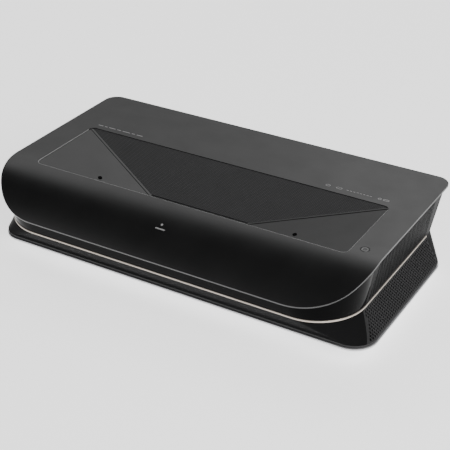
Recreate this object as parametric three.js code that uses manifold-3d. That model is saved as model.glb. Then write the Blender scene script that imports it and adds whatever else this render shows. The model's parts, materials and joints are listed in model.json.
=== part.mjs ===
// Home projector of the ultra-short-throw kind: a low, wide box that stands next to the wall and throws
// its picture back up at it. A bent top cover carries a shallow three-sided recess, and the light leaves
// through a window at the foot of that recess. Below the cover the walls narrow to a metal trim line and
// widen again to the base. Inside are the laser, the optics, the boards, two fans and two speakers.
//
// Units are millimetres. +Z is up, +X is the viewer's right and the front faces -Y. The origin is on the
// floor, under the middle of the object.

import * as THREE from 'three';
import { mergeVertices } from 'three/addons/utils/BufferGeometryUtils.js';
import Module from 'manifold-3d';

const wasm = await Module();
wasm.setup();

// ---- Driving dimensions ----------------------------------------------------------------------------

const GAP = 0.3;                  // clearance between pieces that meet face to face
const BEYOND = 5;                 // how far a cutting block runs past what it cuts

const FOOT_HEIGHT = 20;
const TOP_Z = 138;                // the flat top of the cover
const WALL = 2.5;                 // moulded walls

const SHEET = 3;                  // thickness of the top cover
const COVER = { halfWidth: 292, rear: 168, rearRadius: 21, frontRadius: 94 };
const BEND_START_Y = -72.5;       // the flat top ends here
const BEND_RADIUS = 88;
const BEND_ANGLE = THREE.MathUtils.degToRad(40.7);
const FLARE_RADIUS = 162;         // below the bend the sheet curls gently outwards again
const FLARE_LENGTH = 46;

const TRIM = { halfWidth: 277, front: -153.5, rear: 153.5, frontRadius: 71, rearRadius: 20 };
const TRIM_Z = 63.8;
const TRIM_HEIGHT = 2.6;
const TRIM_PROUD = 0.8;           // how far the trim stands out of the walls

const BASE = { halfWidth: 300, front: -125, rear: 142, frontRadius: 35, rearRadius: 25 };
const BASE_PLATE_THICKNESS = 2.4;
const BASE_TRAY_TOP_Z = 27;
const TRAY_INSET = 2.2;           // the tray stands this far inside the plate's edge
const TRAY_FLOOR = 2;

const RECESS = { halfWidth: 248, front: -86.5, rear: 50.5, frontRadius: 9, rearRadius: 9 };
const RAMP_SLOPE = 0.33;          // the middle face falls towards the front
const FACET_SLOPE = 0.175;        // the two side faces fall towards the middle
const RAMP_FOOT_Y = -39;          // the ramp ends here, at the light window
const EDGE_STEP = 1;              // the faces start this far below the cover's top
const MESH_STEP = 1.2;            // the mesh lies this far below the ramp face
const MESH_THICKNESS = 1.5;

const WINDOW_HALF_WIDTH = 72;
const WINDOW_REAR_DEPTH = 31;     // below the top, at the ramp's foot
const WINDOW_FRONT_DEPTH = 14;    // below the top, at the recess's front wall
const GLASS_THICKNESS = 2;

const TRAY_FLANGE = { out: 8, in: 6, thickness: 2 };    // the tray hangs from this rim, under the cover
const WINDOW_SEAT = { border: 6, rear: 3, front: 2, thickness: 5 };

const SENSOR = { x: 158, y: -54, radius: 3.2, length: 8, sunk: 3.2 };
const SENSOR_BOARD = { halfWidth: 8, halfDepth: 6, drop: 8.4, thickness: 1.8 };
const BUTTON = { x: 264, y: -66.5, radius: 6, travel: 0.8 };

const UPPER_SPLIT_Y = -84;        // front fascia meets the upper side grilles
const LOWER_SPLIT = { top: -90, bottom: -109 };  // front fascia meets the lower side grilles on a slant
const REAR_SPLIT_Y = 122;         // side grilles meet the rear shell
const WALL_TUCK = 4.5;            // the upper walls meet the cover this far inside its edge
const SIDE_SLOT = { pitch: 14, width: 5, inner: 230 };
const UPPER_SLOTS = { first: -50, last: 108, bottom: 78, top: 122 };
const LOWER_SLOTS = { first: -78, last: 108, bottom: 34, top: 57 };

const PORT_WINDOW = { halfWidth: 196, bottom: 42, top: 104 };
const PORT_PLATE_Y = 134;
const PORT_PLATE = { thickness: 2, border: 6 };
const VENT = { first: -180, last: 176, pitch: 12, width: 5, bottom: 82, top: 100 };

const FOOT_X = 232;
const FOOT_Y = [-78, 96];
const FOOT_RADIUS = 15;
const STUD = { radius: 4, bottom: 13, top: 32 };
const STUD_HOLE_RADIUS = 4.6;
const BOSS = { radius: 9, height: 9, bottom: 23.7 };
const FOOT_WHEEL = { bottom: 4.4, height: 9, sides: 14 };
const FOOT_PAD = { radius: 13.5, height: 4, neckRadius: 5, neckTop: 6.7, socketTop: 7 };

const FAN_SIZE = 68;
const FAN_DEPTH = 18;
const FAN = { x: 243, y: 78, z: 68 };
const FAN_BLADES = 7;
const FAN_HUB_RADIUS = 12;
const FAN_BLADE = { length: 18, thickness: 1.6, pitchAngle: 0.55, middle: 20 };
const FAN_RIM = 3;                // least thickness of the fan's frame round its bore

const SPEAKER = { x: 226, y: -18, z: 64, length: 88, height: 56, depth: 46 };
const CONE_RADIUS = 22;
const CONE_GAP = 1.6;

const LENS_Z = 62;
const LENS_RADIUS = 24;
const FOCUS_RADIUS = 31;
const FOCUS_Y = -26;
const PINION_RADIUS = 6;
const WHEEL = { x: -60, y: -8, z: 60, radius: 21, thickness: 1.4, hubRadius: 7, hubLength: 5 };
const MIRROR_BOWL = { radius: 110, y: -4, z: 92 };

const HEAT_SINK = { x: [-232, -196], y: [46, 110], z: [34, 100], wall: 4, finPitch: 5.6, fin: 1.4 };
const PROCESSOR_SINK = { x: [80, 120], y: [26, 66], z: [56.3, 70], plate: 2.7, finPitch: 6, fin: 1.6 };
const CAPACITOR = { x: 140, y: -34, pitch: 18, radius: 8, height: 26, bottom: 35.8, count: 3 };

// Plain blocks of the inner pieces, as [x0, x1, y0, y1, z0, z1].
const BLOCKS = {
  laserCase: [-194, -126, 44, 112, 32, 84],
  laserLid: [-180, -140, 56, 100, 83, 88],
  opticsCase: [-122, 18, 22, 112, 32, 84],
  opticsTower: [-50, 12, 40, 104, 83, 96],
  opticsSnout: [-26, 26, 14, 23, 36, 88],
  wheelMotorFoot: [-76, -44, 6, 10, 32, 69],
  pictureBoard: [22, 24, 30, 108, 34, 92],
  pictureChip: [23, 31, 48, 84, 46, 78],
  mirrorPlate: [-62, 62, -117.6, -94, 34, 84],
  bracketUpright: [-70, 70, -121, -118, 28, 80],
  bracketFoot: [-70, 70, -119, -84, 28, 31],
  mainboard: [40, 190, -10, 116, 50, 51.8],
  processor: [84, 116, 30, 62, 51.6, 56],
  radioShield: [130, 172, 20, 70, 51.6, 57],
  supplyBoard: [76, 190, -100, -16, 34, 36],
  transformer: [84, 116, -80, -44, 35.8, 62],
  inductor: [134, 158, -84, -56, 35.8, 54],
  receiverBoard: [-7, 7, -142, -139, 70, 84],
};

// ---- Solids ----------------------------------------------------------------------------------------

/** Turns a closed three.js geometry into a solid that can be joined and cut. */
function solidOf(geometry) {
  const bare = geometry.clone();
  bare.deleteAttribute('normal');
  bare.deleteAttribute('uv');
  const merged = mergeVertices(bare, 1e-4);
  return new wasm.Manifold(new wasm.Mesh({
    numProp: 3,
    vertProperties: new Float32Array(merged.attributes.position.array),
    triVerts: new Uint32Array(merged.index.array),
  }));
}

/** Turns a solid back into a geometry with flat faces. */
function geometryOf(solid) {
  const mesh = solid.getMesh();
  const indexed = new THREE.BufferGeometry();
  indexed.setAttribute('position', new THREE.BufferAttribute(mesh.vertProperties, 3));
  indexed.setIndex(new THREE.BufferAttribute(mesh.triVerts, 1));
  const flat = indexed.toNonIndexed();
  flat.computeVertexNormals();
  return flat;
}

function box(x0, x1, y0, y1, z0, z1) {
  const geometry = new THREE.BoxGeometry(x1 - x0, y1 - y0, z1 - z0);
  return solidOf(geometry.translate((x0 + x1) / 2, (y0 + y1) / 2, (z0 + z1) / 2));
}

/** One of the named inner blocks. */
function block(name) {
  return box(...BLOCKS[name]);
}

const AXIS_TURNS = {
  x: new THREE.Matrix4().makeRotationZ(-Math.PI / 2),
  y: new THREE.Matrix4(),
  z: new THREE.Matrix4().makeRotationX(Math.PI / 2),
};

/** A round bar along one axis, with its middle at the given point. */
function rod(axis, radius, length, x, y, z, sides = 20) {
  const geometry = new THREE.CylinderGeometry(radius, radius, length, sides);
  return solidOf(geometry.applyMatrix4(AXIS_TURNS[axis]).translate(x, y, z));
}

/** A straight-sided block with the given outline, standing between two heights. */
function prism(points, bottom, top) {
  const geometry = new THREE.ExtrudeGeometry(new THREE.Shape(points), {
    depth: top - bottom,
    bevelEnabled: false,
  });
  return solidOf(geometry.translate(0, 0, bottom));
}

/** A block whose outline is drawn in the YZ plane and runs along X between -halfWidth and +halfWidth. */
function crossBlock(points, halfWidth) {
  const geometry = new THREE.ExtrudeGeometry(new THREE.Shape(points), {
    depth: 2 * halfWidth,
    bevelEnabled: false,
  });
  const turn = new THREE.Matrix4().makeBasis(
    new THREE.Vector3(0, 1, 0), new THREE.Vector3(0, 0, 1), new THREE.Vector3(1, 0, 0));
  return solidOf(geometry.applyMatrix4(turn).translate(-halfWidth, 0, 0));
}

const FAR = 500;

/** Everything in front of a plane across the object. */
function inFront(y) {
  return box(-FAR, FAR, -FAR, y, -FAR, FAR);
}

/** Everything behind a plane across the object. */
function behind(y) {
  return box(-FAR, FAR, y, FAR, -FAR, FAR);
}

/** One side's half between two planes, clear of both. */
function between(side, y0, y1) {
  return box(side < 0 ? -FAR : 0, side < 0 ? 0 : FAR, y0 + GAP, y1 - GAP, -FAR, FAR);
}

/** Joins rings of equally many points into one closed surface, looped back or with flat ends. */
function skin(rings, looped) {
  const count = rings[0].length;
  const index = [];
  const spans = looped ? rings.length : rings.length - 1;
  for (let r = 0; r < spans; r += 1) {
    const near = r * count;
    const far = ((r + 1) % rings.length) * count;
    for (let i = 0; i < count; i += 1) {
      const j = (i + 1) % count;
      index.push(near + i, near + j, far + j, near + i, far + j, far + i);
    }
  }
  if (!looped) {
    const last = (rings.length - 1) * count;
    for (let i = 1; i < count - 1; i += 1) {
      index.push(0, i + 1, i, last, last + i, last + i + 1);
    }
  }
  const geometry = new THREE.BufferGeometry().setFromPoints(rings.flat());
  geometry.setIndex(index);
  if (signedVolume(geometry) < 0) {
    index.reverse();
    geometry.setIndex(index);
  }
  return solidOf(geometry);
}

function signedVolume(geometry) {
  const at = (i) => new THREE.Vector3().fromBufferAttribute(geometry.attributes.position, i);
  const index = geometry.index.array;
  let volume = 0;
  for (let i = 0; i < index.length; i += 3) {
    volume += at(index[i]).dot(at(index[i + 1]).cross(at(index[i + 2]))) / 6;
  }
  return volume;
}

// ---- Outlines --------------------------------------------------------------------------------------

const FRONT_STEPS = 10;
const REAR_STEPS = 4;
const SIDE_STEPS = 4;

function arcPoints(cx, cy, radius, startDegrees, steps) {
  return Array.from({ length: steps + 1 }, (_, i) => {
    const angle = THREE.MathUtils.degToRad(startDegrees + (90 * i) / steps);
    return new THREE.Vector2(cx + radius * Math.cos(angle), cy + radius * Math.sin(angle));
  });
}

/** A rounded rectangle, anticlockwise from the front left corner; every outline has as many points. */
function outline({ halfWidth, front, rear, frontRadius, rearRadius }) {
  const sideSpan = rear - rearRadius - (front + frontRadius);
  const sides = Array.from({ length: SIDE_STEPS - 1 }, (_, i) =>
    front + frontRadius + (sideSpan * (i + 1)) / SIDE_STEPS);
  return [
    ...arcPoints(-halfWidth + frontRadius, front + frontRadius, frontRadius, 180, FRONT_STEPS),
    ...arcPoints(halfWidth - frontRadius, front + frontRadius, frontRadius, 270, FRONT_STEPS),
    ...sides.map((y) => new THREE.Vector2(halfWidth, y)),
    ...arcPoints(halfWidth - rearRadius, rear - rearRadius, rearRadius, 0, REAR_STEPS),
    ...arcPoints(-halfWidth + rearRadius, rear - rearRadius, rearRadius, 90, REAR_STEPS),
    ...sides.toReversed().map((y) => new THREE.Vector2(-halfWidth, y)),
  ];
}

/** The same outline, pulled in by a distance all round. */
function inset(shape, distance) {
  return {
    halfWidth: shape.halfWidth - distance,
    front: shape.front + distance,
    rear: shape.rear - distance,
    frontRadius: shape.frontRadius - distance,
    rearRadius: shape.rearRadius - distance,
  };
}

function atHeight(points, z) {
  return points.map((p) => new THREE.Vector3(p.x, p.y, z));
}

// ---- The bent sheet --------------------------------------------------------------------------------

const BEND_LENGTH = BEND_RADIUS * BEND_ANGLE;

/** The point of the bent cover that lies at flat position (x, y), a given depth under its outer face. */
function sheetPoint(x, y, depth) {
  const past = Math.max(0, BEND_START_Y - y);
  const bend = Math.min(past, BEND_LENGTH) / BEND_RADIUS;
  const slope = bend - Math.max(0, past - BEND_LENGTH) / FLARE_RADIUS;
  const point = new THREE.Vector3(x, Math.max(y, BEND_START_Y), TOP_Z);
  point.y -= BEND_RADIUS * Math.sin(bend) + FLARE_RADIUS * (Math.sin(bend) - Math.sin(slope));
  point.z -= BEND_RADIUS * (1 - Math.cos(bend)) + FLARE_RADIUS * (Math.cos(slope) - Math.cos(bend));
  point.y += depth * Math.sin(slope);
  point.z -= depth * Math.cos(slope);
  return point;
}

// The cover's outline on the flat sheet, before it is bent.
const SHEET_OUTLINE = { ...COVER, front: BEND_START_Y - BEND_LENGTH - FLARE_LENGTH };

function topCover() {
  const { halfWidth, rear, rearRadius, front, frontRadius } = SHEET_OUTLINE;
  const stations = [];
  for (let i = 0; i <= REAR_STEPS; i += 1) {
    const angle = (Math.PI / 2) * (i / REAR_STEPS);
    stations.push([
      rear - rearRadius * (1 - Math.cos(angle)),
      halfWidth - rearRadius * (1 - Math.sin(angle)),
    ]);
  }
  stations.push([BEND_START_Y, halfWidth]);
  for (let i = 0; i <= FRONT_STEPS; i += 1) {
    const angle = (Math.PI / 2) * (i / FRONT_STEPS);
    stations.push([
      front + frontRadius * (1 - Math.sin(angle)),
      halfWidth - frontRadius * (1 - Math.cos(angle)),
    ]);
  }
  const sheet = skin(stations.map(([y, half]) => [
    sheetPoint(-half, y, 0), sheetPoint(half, y, 0),
    sheetPoint(half, y, SHEET), sheetPoint(-half, y, SHEET),
  ]), false);
  const opening = prism(outline(RECESS), TOP_Z - 20, TOP_Z + 5);
  const buttonHole = rod('z', BUTTON.radius + GAP, 20, BUTTON.x, BUTTON.y, TOP_Z);
  return sheet.subtract(opening).subtract(buttonHole);
}

// ---- The recess ------------------------------------------------------------------------------------

/** Height of the middle face, which falls from the recess's rear edge towards the front. */
function rampZ(y) {
  return TOP_Z - EDGE_STEP - RAMP_SLOPE * (RECESS.rear - y);
}

/** Height of a side face, which falls from the recess's side edge towards the middle. */
function facetZ(x) {
  return TOP_Z - EDGE_STEP - FACET_SLOPE * (RECESS.halfWidth - x);
}

/** The hollow over the three faces, let down by a distance, within an outline grown by another. */
function recessSpace(drop, grow, top) {
  const beyond = 30;
  const deep = facetZ(0) - 60;
  const front = RECESS.front - beyond;
  const rear = RECESS.rear + beyond;
  const reach = RECESS.halfWidth + beyond;
  const ramp = crossBlock([
    new THREE.Vector2(front, rampZ(front) - drop),
    new THREE.Vector2(rear, rampZ(rear) - drop),
    new THREE.Vector2(rear, deep),
    new THREE.Vector2(front, deep),
  ], reach);
  let space = prism(outline(inset(RECESS, -grow)), facetZ(0) - drop - 5, top).subtract(ramp);
  for (const side of [-1, 1]) {
    const facet = new THREE.Shape([
      new THREE.Vector2(side * reach, facetZ(reach) - drop),
      new THREE.Vector2(-side * beyond, facetZ(-beyond) - drop),
      new THREE.Vector2(-side * beyond, deep),
      new THREE.Vector2(side * reach, deep),
    ]);
    const geometry = new THREE.ExtrudeGeometry(facet, { depth: rear - front, bevelEnabled: false });
    space = space.subtract(solidOf(geometry.rotateX(Math.PI / 2).translate(0, rear, 0)));
  }
  return space;
}

/** The plan of the mesh: the part of the ramp between the two creases, pulled in by a margin. */
function meshPlan(margin) {
  const halfAt = (y) => RECESS.halfWidth - (RAMP_SLOPE / FACET_SLOPE) * (RECESS.rear - y) - margin * 1.6;
  const rear = RECESS.rear - margin;
  const front = RAMP_FOOT_Y + margin;
  return [
    new THREE.Vector2(-halfAt(front), front),
    new THREE.Vector2(halfAt(front), front),
    new THREE.Vector2(halfAt(rear), rear),
    new THREE.Vector2(-halfAt(rear), rear),
  ];
}

/** A plate that follows the ramp's slope between two depths below it. */
function rampSlab(plan, above, below) {
  const reach = RECESS.halfWidth + 20;
  const slab = crossBlock([
    new THREE.Vector2(-120, rampZ(-120) - above),
    new THREE.Vector2(100, rampZ(100) - above),
    new THREE.Vector2(100, rampZ(100) - below),
    new THREE.Vector2(-120, rampZ(-120) - below),
  ], reach);
  return slab.intersect(prism(plan, 0, TOP_Z + 60));
}

const WINDOW_SLOPE = (WINDOW_REAR_DEPTH - WINDOW_FRONT_DEPTH) / (RAMP_FOOT_Y - RECESS.front);

/** The wedge under the light window, or the glass in it, as a block along X. */
function windowWedge(halfWidth, rearY, frontY, above, below) {
  const zAt = (y) => TOP_Z - WINDOW_REAR_DEPTH + WINDOW_SLOPE * (RAMP_FOOT_Y - y);
  return crossBlock([
    new THREE.Vector2(frontY, zAt(frontY) - above),
    new THREE.Vector2(rearY, zAt(rearY) - above),
    new THREE.Vector2(rearY, zAt(rearY) - below),
    new THREE.Vector2(frontY, zAt(frontY) - below),
  ], halfWidth);
}

function recessTray() {
  const underCover = TOP_Z - SHEET - GAP;
  const underFlange = underCover - TRAY_FLANGE.thickness;
  const { border, rear, front, thickness } = WINDOW_SEAT;
  const bowl = recessSpace(WALL, WALL, underFlange + GAP);
  const collar = recessSpace(WALL, -GAP, TOP_Z);
  const flange = prism(outline(inset(RECESS, -TRAY_FLANGE.out)), underFlange, underCover)
    .subtract(prism(outline(inset(RECESS, TRAY_FLANGE.in)), underCover - BEYOND, underCover + BEYOND))
    .subtract(inFront(BEND_START_Y + TRAY_FLANGE.thickness));
  const shell = bowl.add(collar).add(flange).subtract(recessSpace(0, -GAP, TOP_Z + BEYOND));
  const wedge = windowWedge(WINDOW_HALF_WIDTH + border, RAMP_FOOT_Y, RECESS.front - 1, 0, thickness);
  const lightPath = windowWedge(
    WINDOW_HALF_WIDTH - border, RAMP_FOOT_Y - rear - 4, RECESS.front + front + 4, -2, 40);
  const rebate = windowWedge(
    WINDOW_HALF_WIDTH + GAP, RAMP_FOOT_Y - rear, RECESS.front + front, -1, GLASS_THICKNESS + GAP);
  const meshSeat = rampSlab(meshPlan(1.6), -1, MESH_STEP + MESH_THICKNESS + GAP)
    .subtract(inFront(RAMP_FOOT_Y + 1));
  const behindMesh = rampSlab(meshPlan(8), -1, 20);
  let tray = shell.subtract(meshSeat).subtract(behindMesh).add(wedge).subtract(lightPath).subtract(rebate);
  for (const side of [-1, 1]) {
    tray = tray.subtract(rod('z', SENSOR.radius + GAP, 60, side * SENSOR.x, SENSOR.y, TOP_Z - 20));
  }
  return tray;
}

function rampMesh() {
  return rampSlab(meshPlan(2), MESH_STEP, MESH_STEP + MESH_THICKNESS);
}

function windowGlass() {
  const { rear, front } = WINDOW_SEAT;
  return windowWedge(
    WINDOW_HALF_WIDTH, RAMP_FOOT_Y - rear - GAP, RECESS.front + front + GAP, 0, GLASS_THICKNESS);
}

function eyeSensor(side) {
  const faceZ = facetZ(SENSOR.x);
  const x = side * SENSOR.x;
  const { halfWidth, halfDepth, drop, thickness } = SENSOR_BOARD;
  const lens = rod('z', SENSOR.radius, SENSOR.length, x, SENSOR.y, faceZ - SENSOR.sunk);
  const board = box(x - halfWidth, x + halfWidth, SENSOR.y - halfDepth, SENSOR.y + halfDepth,
    faceZ - drop, faceZ - drop + thickness);
  return lens.add(board);
}

// ---- Walls -----------------------------------------------------------------------------------------

const UNDER_COVER = inset(SHEET_OUTLINE, WALL_TUCK);

/** The ring of wall between the trim and the cover's underside. */
function upperWall() {
  const sheetRing = (shape) => outline(shape).map((p) => sheetPoint(p.x, p.y, SHEET + GAP));
  const bottom = TRIM_Z + TRIM_HEIGHT + GAP;
  return skin([
    atHeight(outline(TRIM), bottom),
    sheetRing(UNDER_COVER),
    sheetRing(inset(UNDER_COVER, WALL)),
    atHeight(outline(inset(TRIM, WALL)), bottom),
  ], true);
}

/** The ring of wall between the base tray and the trim. */
function lowerWall() {
  const bottom = BASE_TRAY_TOP_Z + GAP;
  const top = TRIM_Z - GAP;
  return skin([
    atHeight(outline(inset(BASE, 1)), bottom),
    atHeight(outline(TRIM), top),
    atHeight(outline(inset(TRIM, WALL)), top),
    atHeight(outline(inset(BASE, 1 + WALL)), bottom),
  ], true);
}

/** Upright slots through one side wall. */
function sideSlots(side, { first, last, bottom, top }) {
  const { pitch, width, inner } = SIDE_SLOT;
  let slots = null;
  for (let y = first; y <= last; y += pitch) {
    const slot = box(side < 0 ? -FAR : inner, side < 0 ? -inner : FAR, y, y + width, bottom, top);
    slots = slots ? slots.add(slot) : slot;
  }
  return slots;
}

function upperGrille(side) {
  return upperWall().intersect(between(side, UPPER_SPLIT_Y, REAR_SPLIT_Y))
    .subtract(sideSlots(side, UPPER_SLOTS));
}

/** Everything in front of the slanted line where the lower fascia ends, moved back by a distance. */
function inFrontOfSlant(shift) {
  const lean = (LOWER_SPLIT.top - LOWER_SPLIT.bottom) / (TRIM_Z - BASE_TRAY_TOP_Z);
  const yAt = (z) => LOWER_SPLIT.bottom + lean * (z - BASE_TRAY_TOP_Z) + shift;
  return crossBlock([
    new THREE.Vector2(-FAR, 0),
    new THREE.Vector2(yAt(0), 0),
    new THREE.Vector2(yAt(TOP_Z), TOP_Z),
    new THREE.Vector2(-FAR, TOP_Z),
  ], FAR);
}

function lowerGrille(side) {
  return lowerWall().intersect(between(side, -FAR, REAR_SPLIT_Y)).subtract(inFrontOfSlant(GAP))
    .subtract(sideSlots(side, LOWER_SLOTS));
}

function rearShell() {
  const bottom = TRIM_Z - 1;
  const top = TRIM_Z + TRIM_HEIGHT + 1;
  const bridge = skin([
    atHeight(outline(TRIM), bottom),
    atHeight(outline(TRIM), top),
    atHeight(outline(inset(TRIM, WALL)), top),
    atHeight(outline(inset(TRIM, WALL)), bottom),
  ], true);
  const portWindow = box(
    -PORT_WINDOW.halfWidth, PORT_WINDOW.halfWidth, 100, FAR, PORT_WINDOW.bottom, PORT_WINDOW.top);
  return upperWall().add(lowerWall()).add(bridge).intersect(behind(REAR_SPLIT_Y)).subtract(portWindow);
}

function trimStrip() {
  const outer = inset(TRIM, -TRIM_PROUD);
  const inner = inset(TRIM, WALL);
  return skin([
    atHeight(outline(outer), TRIM_Z),
    atHeight(outline(outer), TRIM_Z + TRIM_HEIGHT),
    atHeight(outline(inner), TRIM_Z + TRIM_HEIGHT),
    atHeight(outline(inner), TRIM_Z),
  ], true).intersect(inFront(REAR_SPLIT_Y - GAP));
}

// ---- Base and feet ---------------------------------------------------------------------------------

const feet = [];
for (const side of [-1, 1]) {
  for (const y of FOOT_Y) {
    feet.push({ x: side * FOOT_X, y, name: `${y < 0 ? 'front' : 'rear'}_${side < 0 ? 'left' : 'right'}` });
  }
}

function withFootHoles(solid) {
  return feet.reduce((body, foot) => body.subtract(
    rod('z', STUD_HOLE_RADIUS, 80, foot.x, foot.y, FOOT_HEIGHT, 16)), solid);
}

function basePlate() {
  return withFootHoles(prism(outline(BASE), FOOT_HEIGHT, FOOT_HEIGHT + BASE_PLATE_THICKNESS));
}

function baseTray() {
  const bottom = FOOT_HEIGHT + BASE_PLATE_THICKNESS + GAP;
  const inside = inset(BASE, TRAY_INSET + WALL);
  let tray = prism(outline(inset(BASE, TRAY_INSET)), bottom, BASE_TRAY_TOP_Z)
    .subtract(prism(outline(inside), bottom + TRAY_FLOOR, BASE_TRAY_TOP_Z + BEYOND));
  for (const { x, y } of feet) {
    tray = tray.add(rod('z', BOSS.radius, BOSS.height, x, y, BOSS.bottom + BOSS.height / 2, 18));
  }
  return withFootHoles(tray);
}

function footPad(foot) {
  const { radius, height, neckRadius, neckTop } = FOOT_PAD;
  const pad = rod('z', radius, height, foot.x, foot.y, height / 2, 24);
  return pad.add(rod('z', neckRadius, neckTop / 2, foot.x, foot.y, neckTop * 0.75, 16));
}

function footScrew(foot) {
  const { bottom, height, sides } = FOOT_WHEEL;
  const wheel = rod('z', FOOT_RADIUS, height, foot.x, foot.y, bottom + height / 2, sides);
  const socket = rod('z', FOOT_PAD.neckRadius + GAP, 4, foot.x, foot.y, FOOT_PAD.socketTop - 2, 16);
  const studMiddle = (STUD.top + STUD.bottom) / 2;
  const stud = rod('z', STUD.radius, STUD.top - STUD.bottom, foot.x, foot.y, studMiddle, 16);
  return wheel.subtract(socket).add(stud);
}

// ---- Rear sockets ----------------------------------------------------------------------------------

const SOCKETS = [
  { name: 'power_inlet', x: -160, z: 62, width: 26, height: 19, depth: 20, inside: 16, lip: 3 },
  { name: 'optical_socket', x: -34, z: 60, width: 11, height: 11, depth: 14, inside: 9, lip: 2 },
  { name: 'audio_socket', x: -6, z: 60, width: 12, height: 12, depth: 14, inside: 8, lip: 3.2 },
  { name: 'network_socket', x: 26, z: 60, width: 17, height: 14, depth: 18, inside: 13, lip: 1.8 },
  { name: 'usb_socket_1', x: 56, z: 60, width: 15, height: 8.4, depth: 16, inside: 12, lip: 1 },
  { name: 'usb_socket_2', x: 80, z: 60, width: 15, height: 8.4, depth: 16, inside: 12, lip: 1 },
  { name: 'hdmi_socket_1', x: 108, z: 60, width: 17, height: 8, depth: 14, inside: 10, lip: 1.1 },
  { name: 'hdmi_socket_2', x: 136, z: 60, width: 17, height: 8, depth: 14, inside: 10, lip: 1.1 },
  { name: 'hdmi_socket_3', x: 164, z: 60, width: 17, height: 8, depth: 14, inside: 10, lip: 1.1 },
];

function portPlate() {
  const { thickness, border } = PORT_PLATE;
  const halfWidth = PORT_WINDOW.halfWidth + border;
  let plate = box(-halfWidth, halfWidth, PORT_PLATE_Y - thickness, PORT_PLATE_Y,
    PORT_WINDOW.bottom - border, PORT_WINDOW.top + border);
  for (const { x, z, width, height } of SOCKETS) {
    plate = plate.subtract(box(
      x - width / 2 - GAP, x + width / 2 + GAP, 0, FAR, z - height / 2 - GAP, z + height / 2 + GAP));
  }
  for (let x = VENT.first; x <= VENT.last; x += VENT.pitch) {
    plate = plate.subtract(box(x, x + VENT.width, 0, FAR, VENT.bottom, VENT.top));
  }
  return plate;
}

function socketBody({ x, z, width, height, depth, inside, lip }) {
  const body = box(x - width / 2, x + width / 2, PORT_PLATE_Y - depth, PORT_PLATE_Y + 0.6,
    z - height / 2, z + height / 2);
  const mouth = box(x - width / 2 + lip, x + width / 2 - lip, PORT_PLATE_Y - inside, 200,
    z - height / 2 + lip, z + height / 2 - lip);
  return body.subtract(mouth);
}

// ---- Cooling and sound -----------------------------------------------------------------------------

function fanFrame(side) {
  const half = FAN_SIZE / 2;
  const x = side * FAN.x;
  const bore = rod('x', half - FAN_RIM, 60, x, FAN.y, FAN.z, 28);
  const frame = box(x - FAN_DEPTH / 2, x + FAN_DEPTH / 2,
    FAN.y - half, FAN.y + half, FAN.z - half, FAN.z + half).subtract(bore);
  const inner = x - (side * FAN_DEPTH) / 2;
  const hubPlate = rod('x', FAN_HUB_RADIUS - 1, 2, inner + side, FAN.y, FAN.z, 20);
  const arms = [0, 1, 2].map((i) => {
    const arm = new THREE.BoxGeometry(2, half * 2 - 4, 3).rotateX((i * Math.PI) / 3);
    return solidOf(arm.translate(inner + side, FAN.y, FAN.z));
  });
  return frame.add(hubPlate).add(arms[0]).add(arms[1]).add(arms[2]);
}

function fanRotor(side) {
  const x = side * (FAN.x + 1.5);
  const depth = FAN_DEPTH - 6;
  const { length, thickness, pitchAngle, middle } = FAN_BLADE;
  let rotor = rod('x', FAN_HUB_RADIUS, depth, x, FAN.y, FAN.z, 20);
  for (let i = 0; i < FAN_BLADES; i += 1) {
    const blade = new THREE.BoxGeometry(depth - 2, length, thickness).rotateY(pitchAngle)
      .translate(0, middle, 0).rotateX((2 * Math.PI * i) / FAN_BLADES);
    rotor = rotor.add(solidOf(blade.translate(x, FAN.y, FAN.z)));
  }
  return rotor;
}

function speakerBox(side) {
  const outer = side * (SPEAKER.x + SPEAKER.depth / 2);
  const cavity = side * (SPEAKER.x + 3);
  const body = box(side * SPEAKER.x - SPEAKER.depth / 2, side * SPEAKER.x + SPEAKER.depth / 2,
    SPEAKER.y - SPEAKER.length / 2, SPEAKER.y + SPEAKER.length / 2,
    SPEAKER.z - SPEAKER.height / 2, SPEAKER.z + SPEAKER.height / 2);
  const well = rod(
    'x', CONE_RADIUS + CONE_GAP, 2 * Math.abs(outer - cavity), outer, SPEAKER.y, SPEAKER.z, 28);
  return body.subtract(well);
}

/** The driver's moving cone, dished towards the speaker box. */
function speakerCone(side) {
  const profile = [[0, 4], [9, 4], [CONE_RADIUS, 10], [CONE_RADIUS, 12], [8, 6.4], [0, 8.4]];
  const lathe = new THREE.LatheGeometry(profile.map(([r, h]) => new THREE.Vector2(r, h)), 24);
  const turned = lathe.rotateZ(side < 0 ? Math.PI / 2 : -Math.PI / 2);
  return solidOf(turned.translate(side * (SPEAKER.x + 5), SPEAKER.y, SPEAKER.z));
}

/** A row of upright fins that stand across X or Y between two ends. */
function fins(from, to, pitch, fin) {
  let row = null;
  for (let place = from; place <= to; place += pitch) {
    row = row ? row.add(fin(place)) : fin(place);
  }
  return row;
}

function heatSink() {
  const { x, y, z, wall, finPitch, fin } = HEAT_SINK;
  const cells = fins(y[0] + 1, y[1] - 1, finPitch, (place) =>
    box(x[0] + wall - 1, x[1] - 2, place, place + fin, ...z));
  return box(x[0], x[0] + wall, ...y, ...z).add(box(x[1] - 3, x[1], ...y, ...z)).add(cells);
}

// ---- Light and picture -----------------------------------------------------------------------------

function laserModule() {
  return block('laserCase').add(block('laserLid'));
}

function opticalEngine() {
  return block('opticsCase').add(block('opticsTower')).add(block('opticsSnout'));
}

function diffuserWheel() {
  const disc = rod('y', WHEEL.radius, WHEEL.thickness, WHEEL.x, WHEEL.y, WHEEL.z, 32);
  const hub = rod('y', WHEEL.hubRadius, WHEEL.hubLength, WHEEL.x, WHEEL.y - 1, WHEEL.z, 20);
  return disc.add(hub);
}

function wheelMotor() {
  const can = rod('y', 9, 12, WHEEL.x, WHEEL.y + 11, WHEEL.z, 20);
  return can.add(block('wheelMotorFoot'));
}

function pictureBoard() {
  return block('pictureBoard').add(block('pictureChip'));
}

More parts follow.
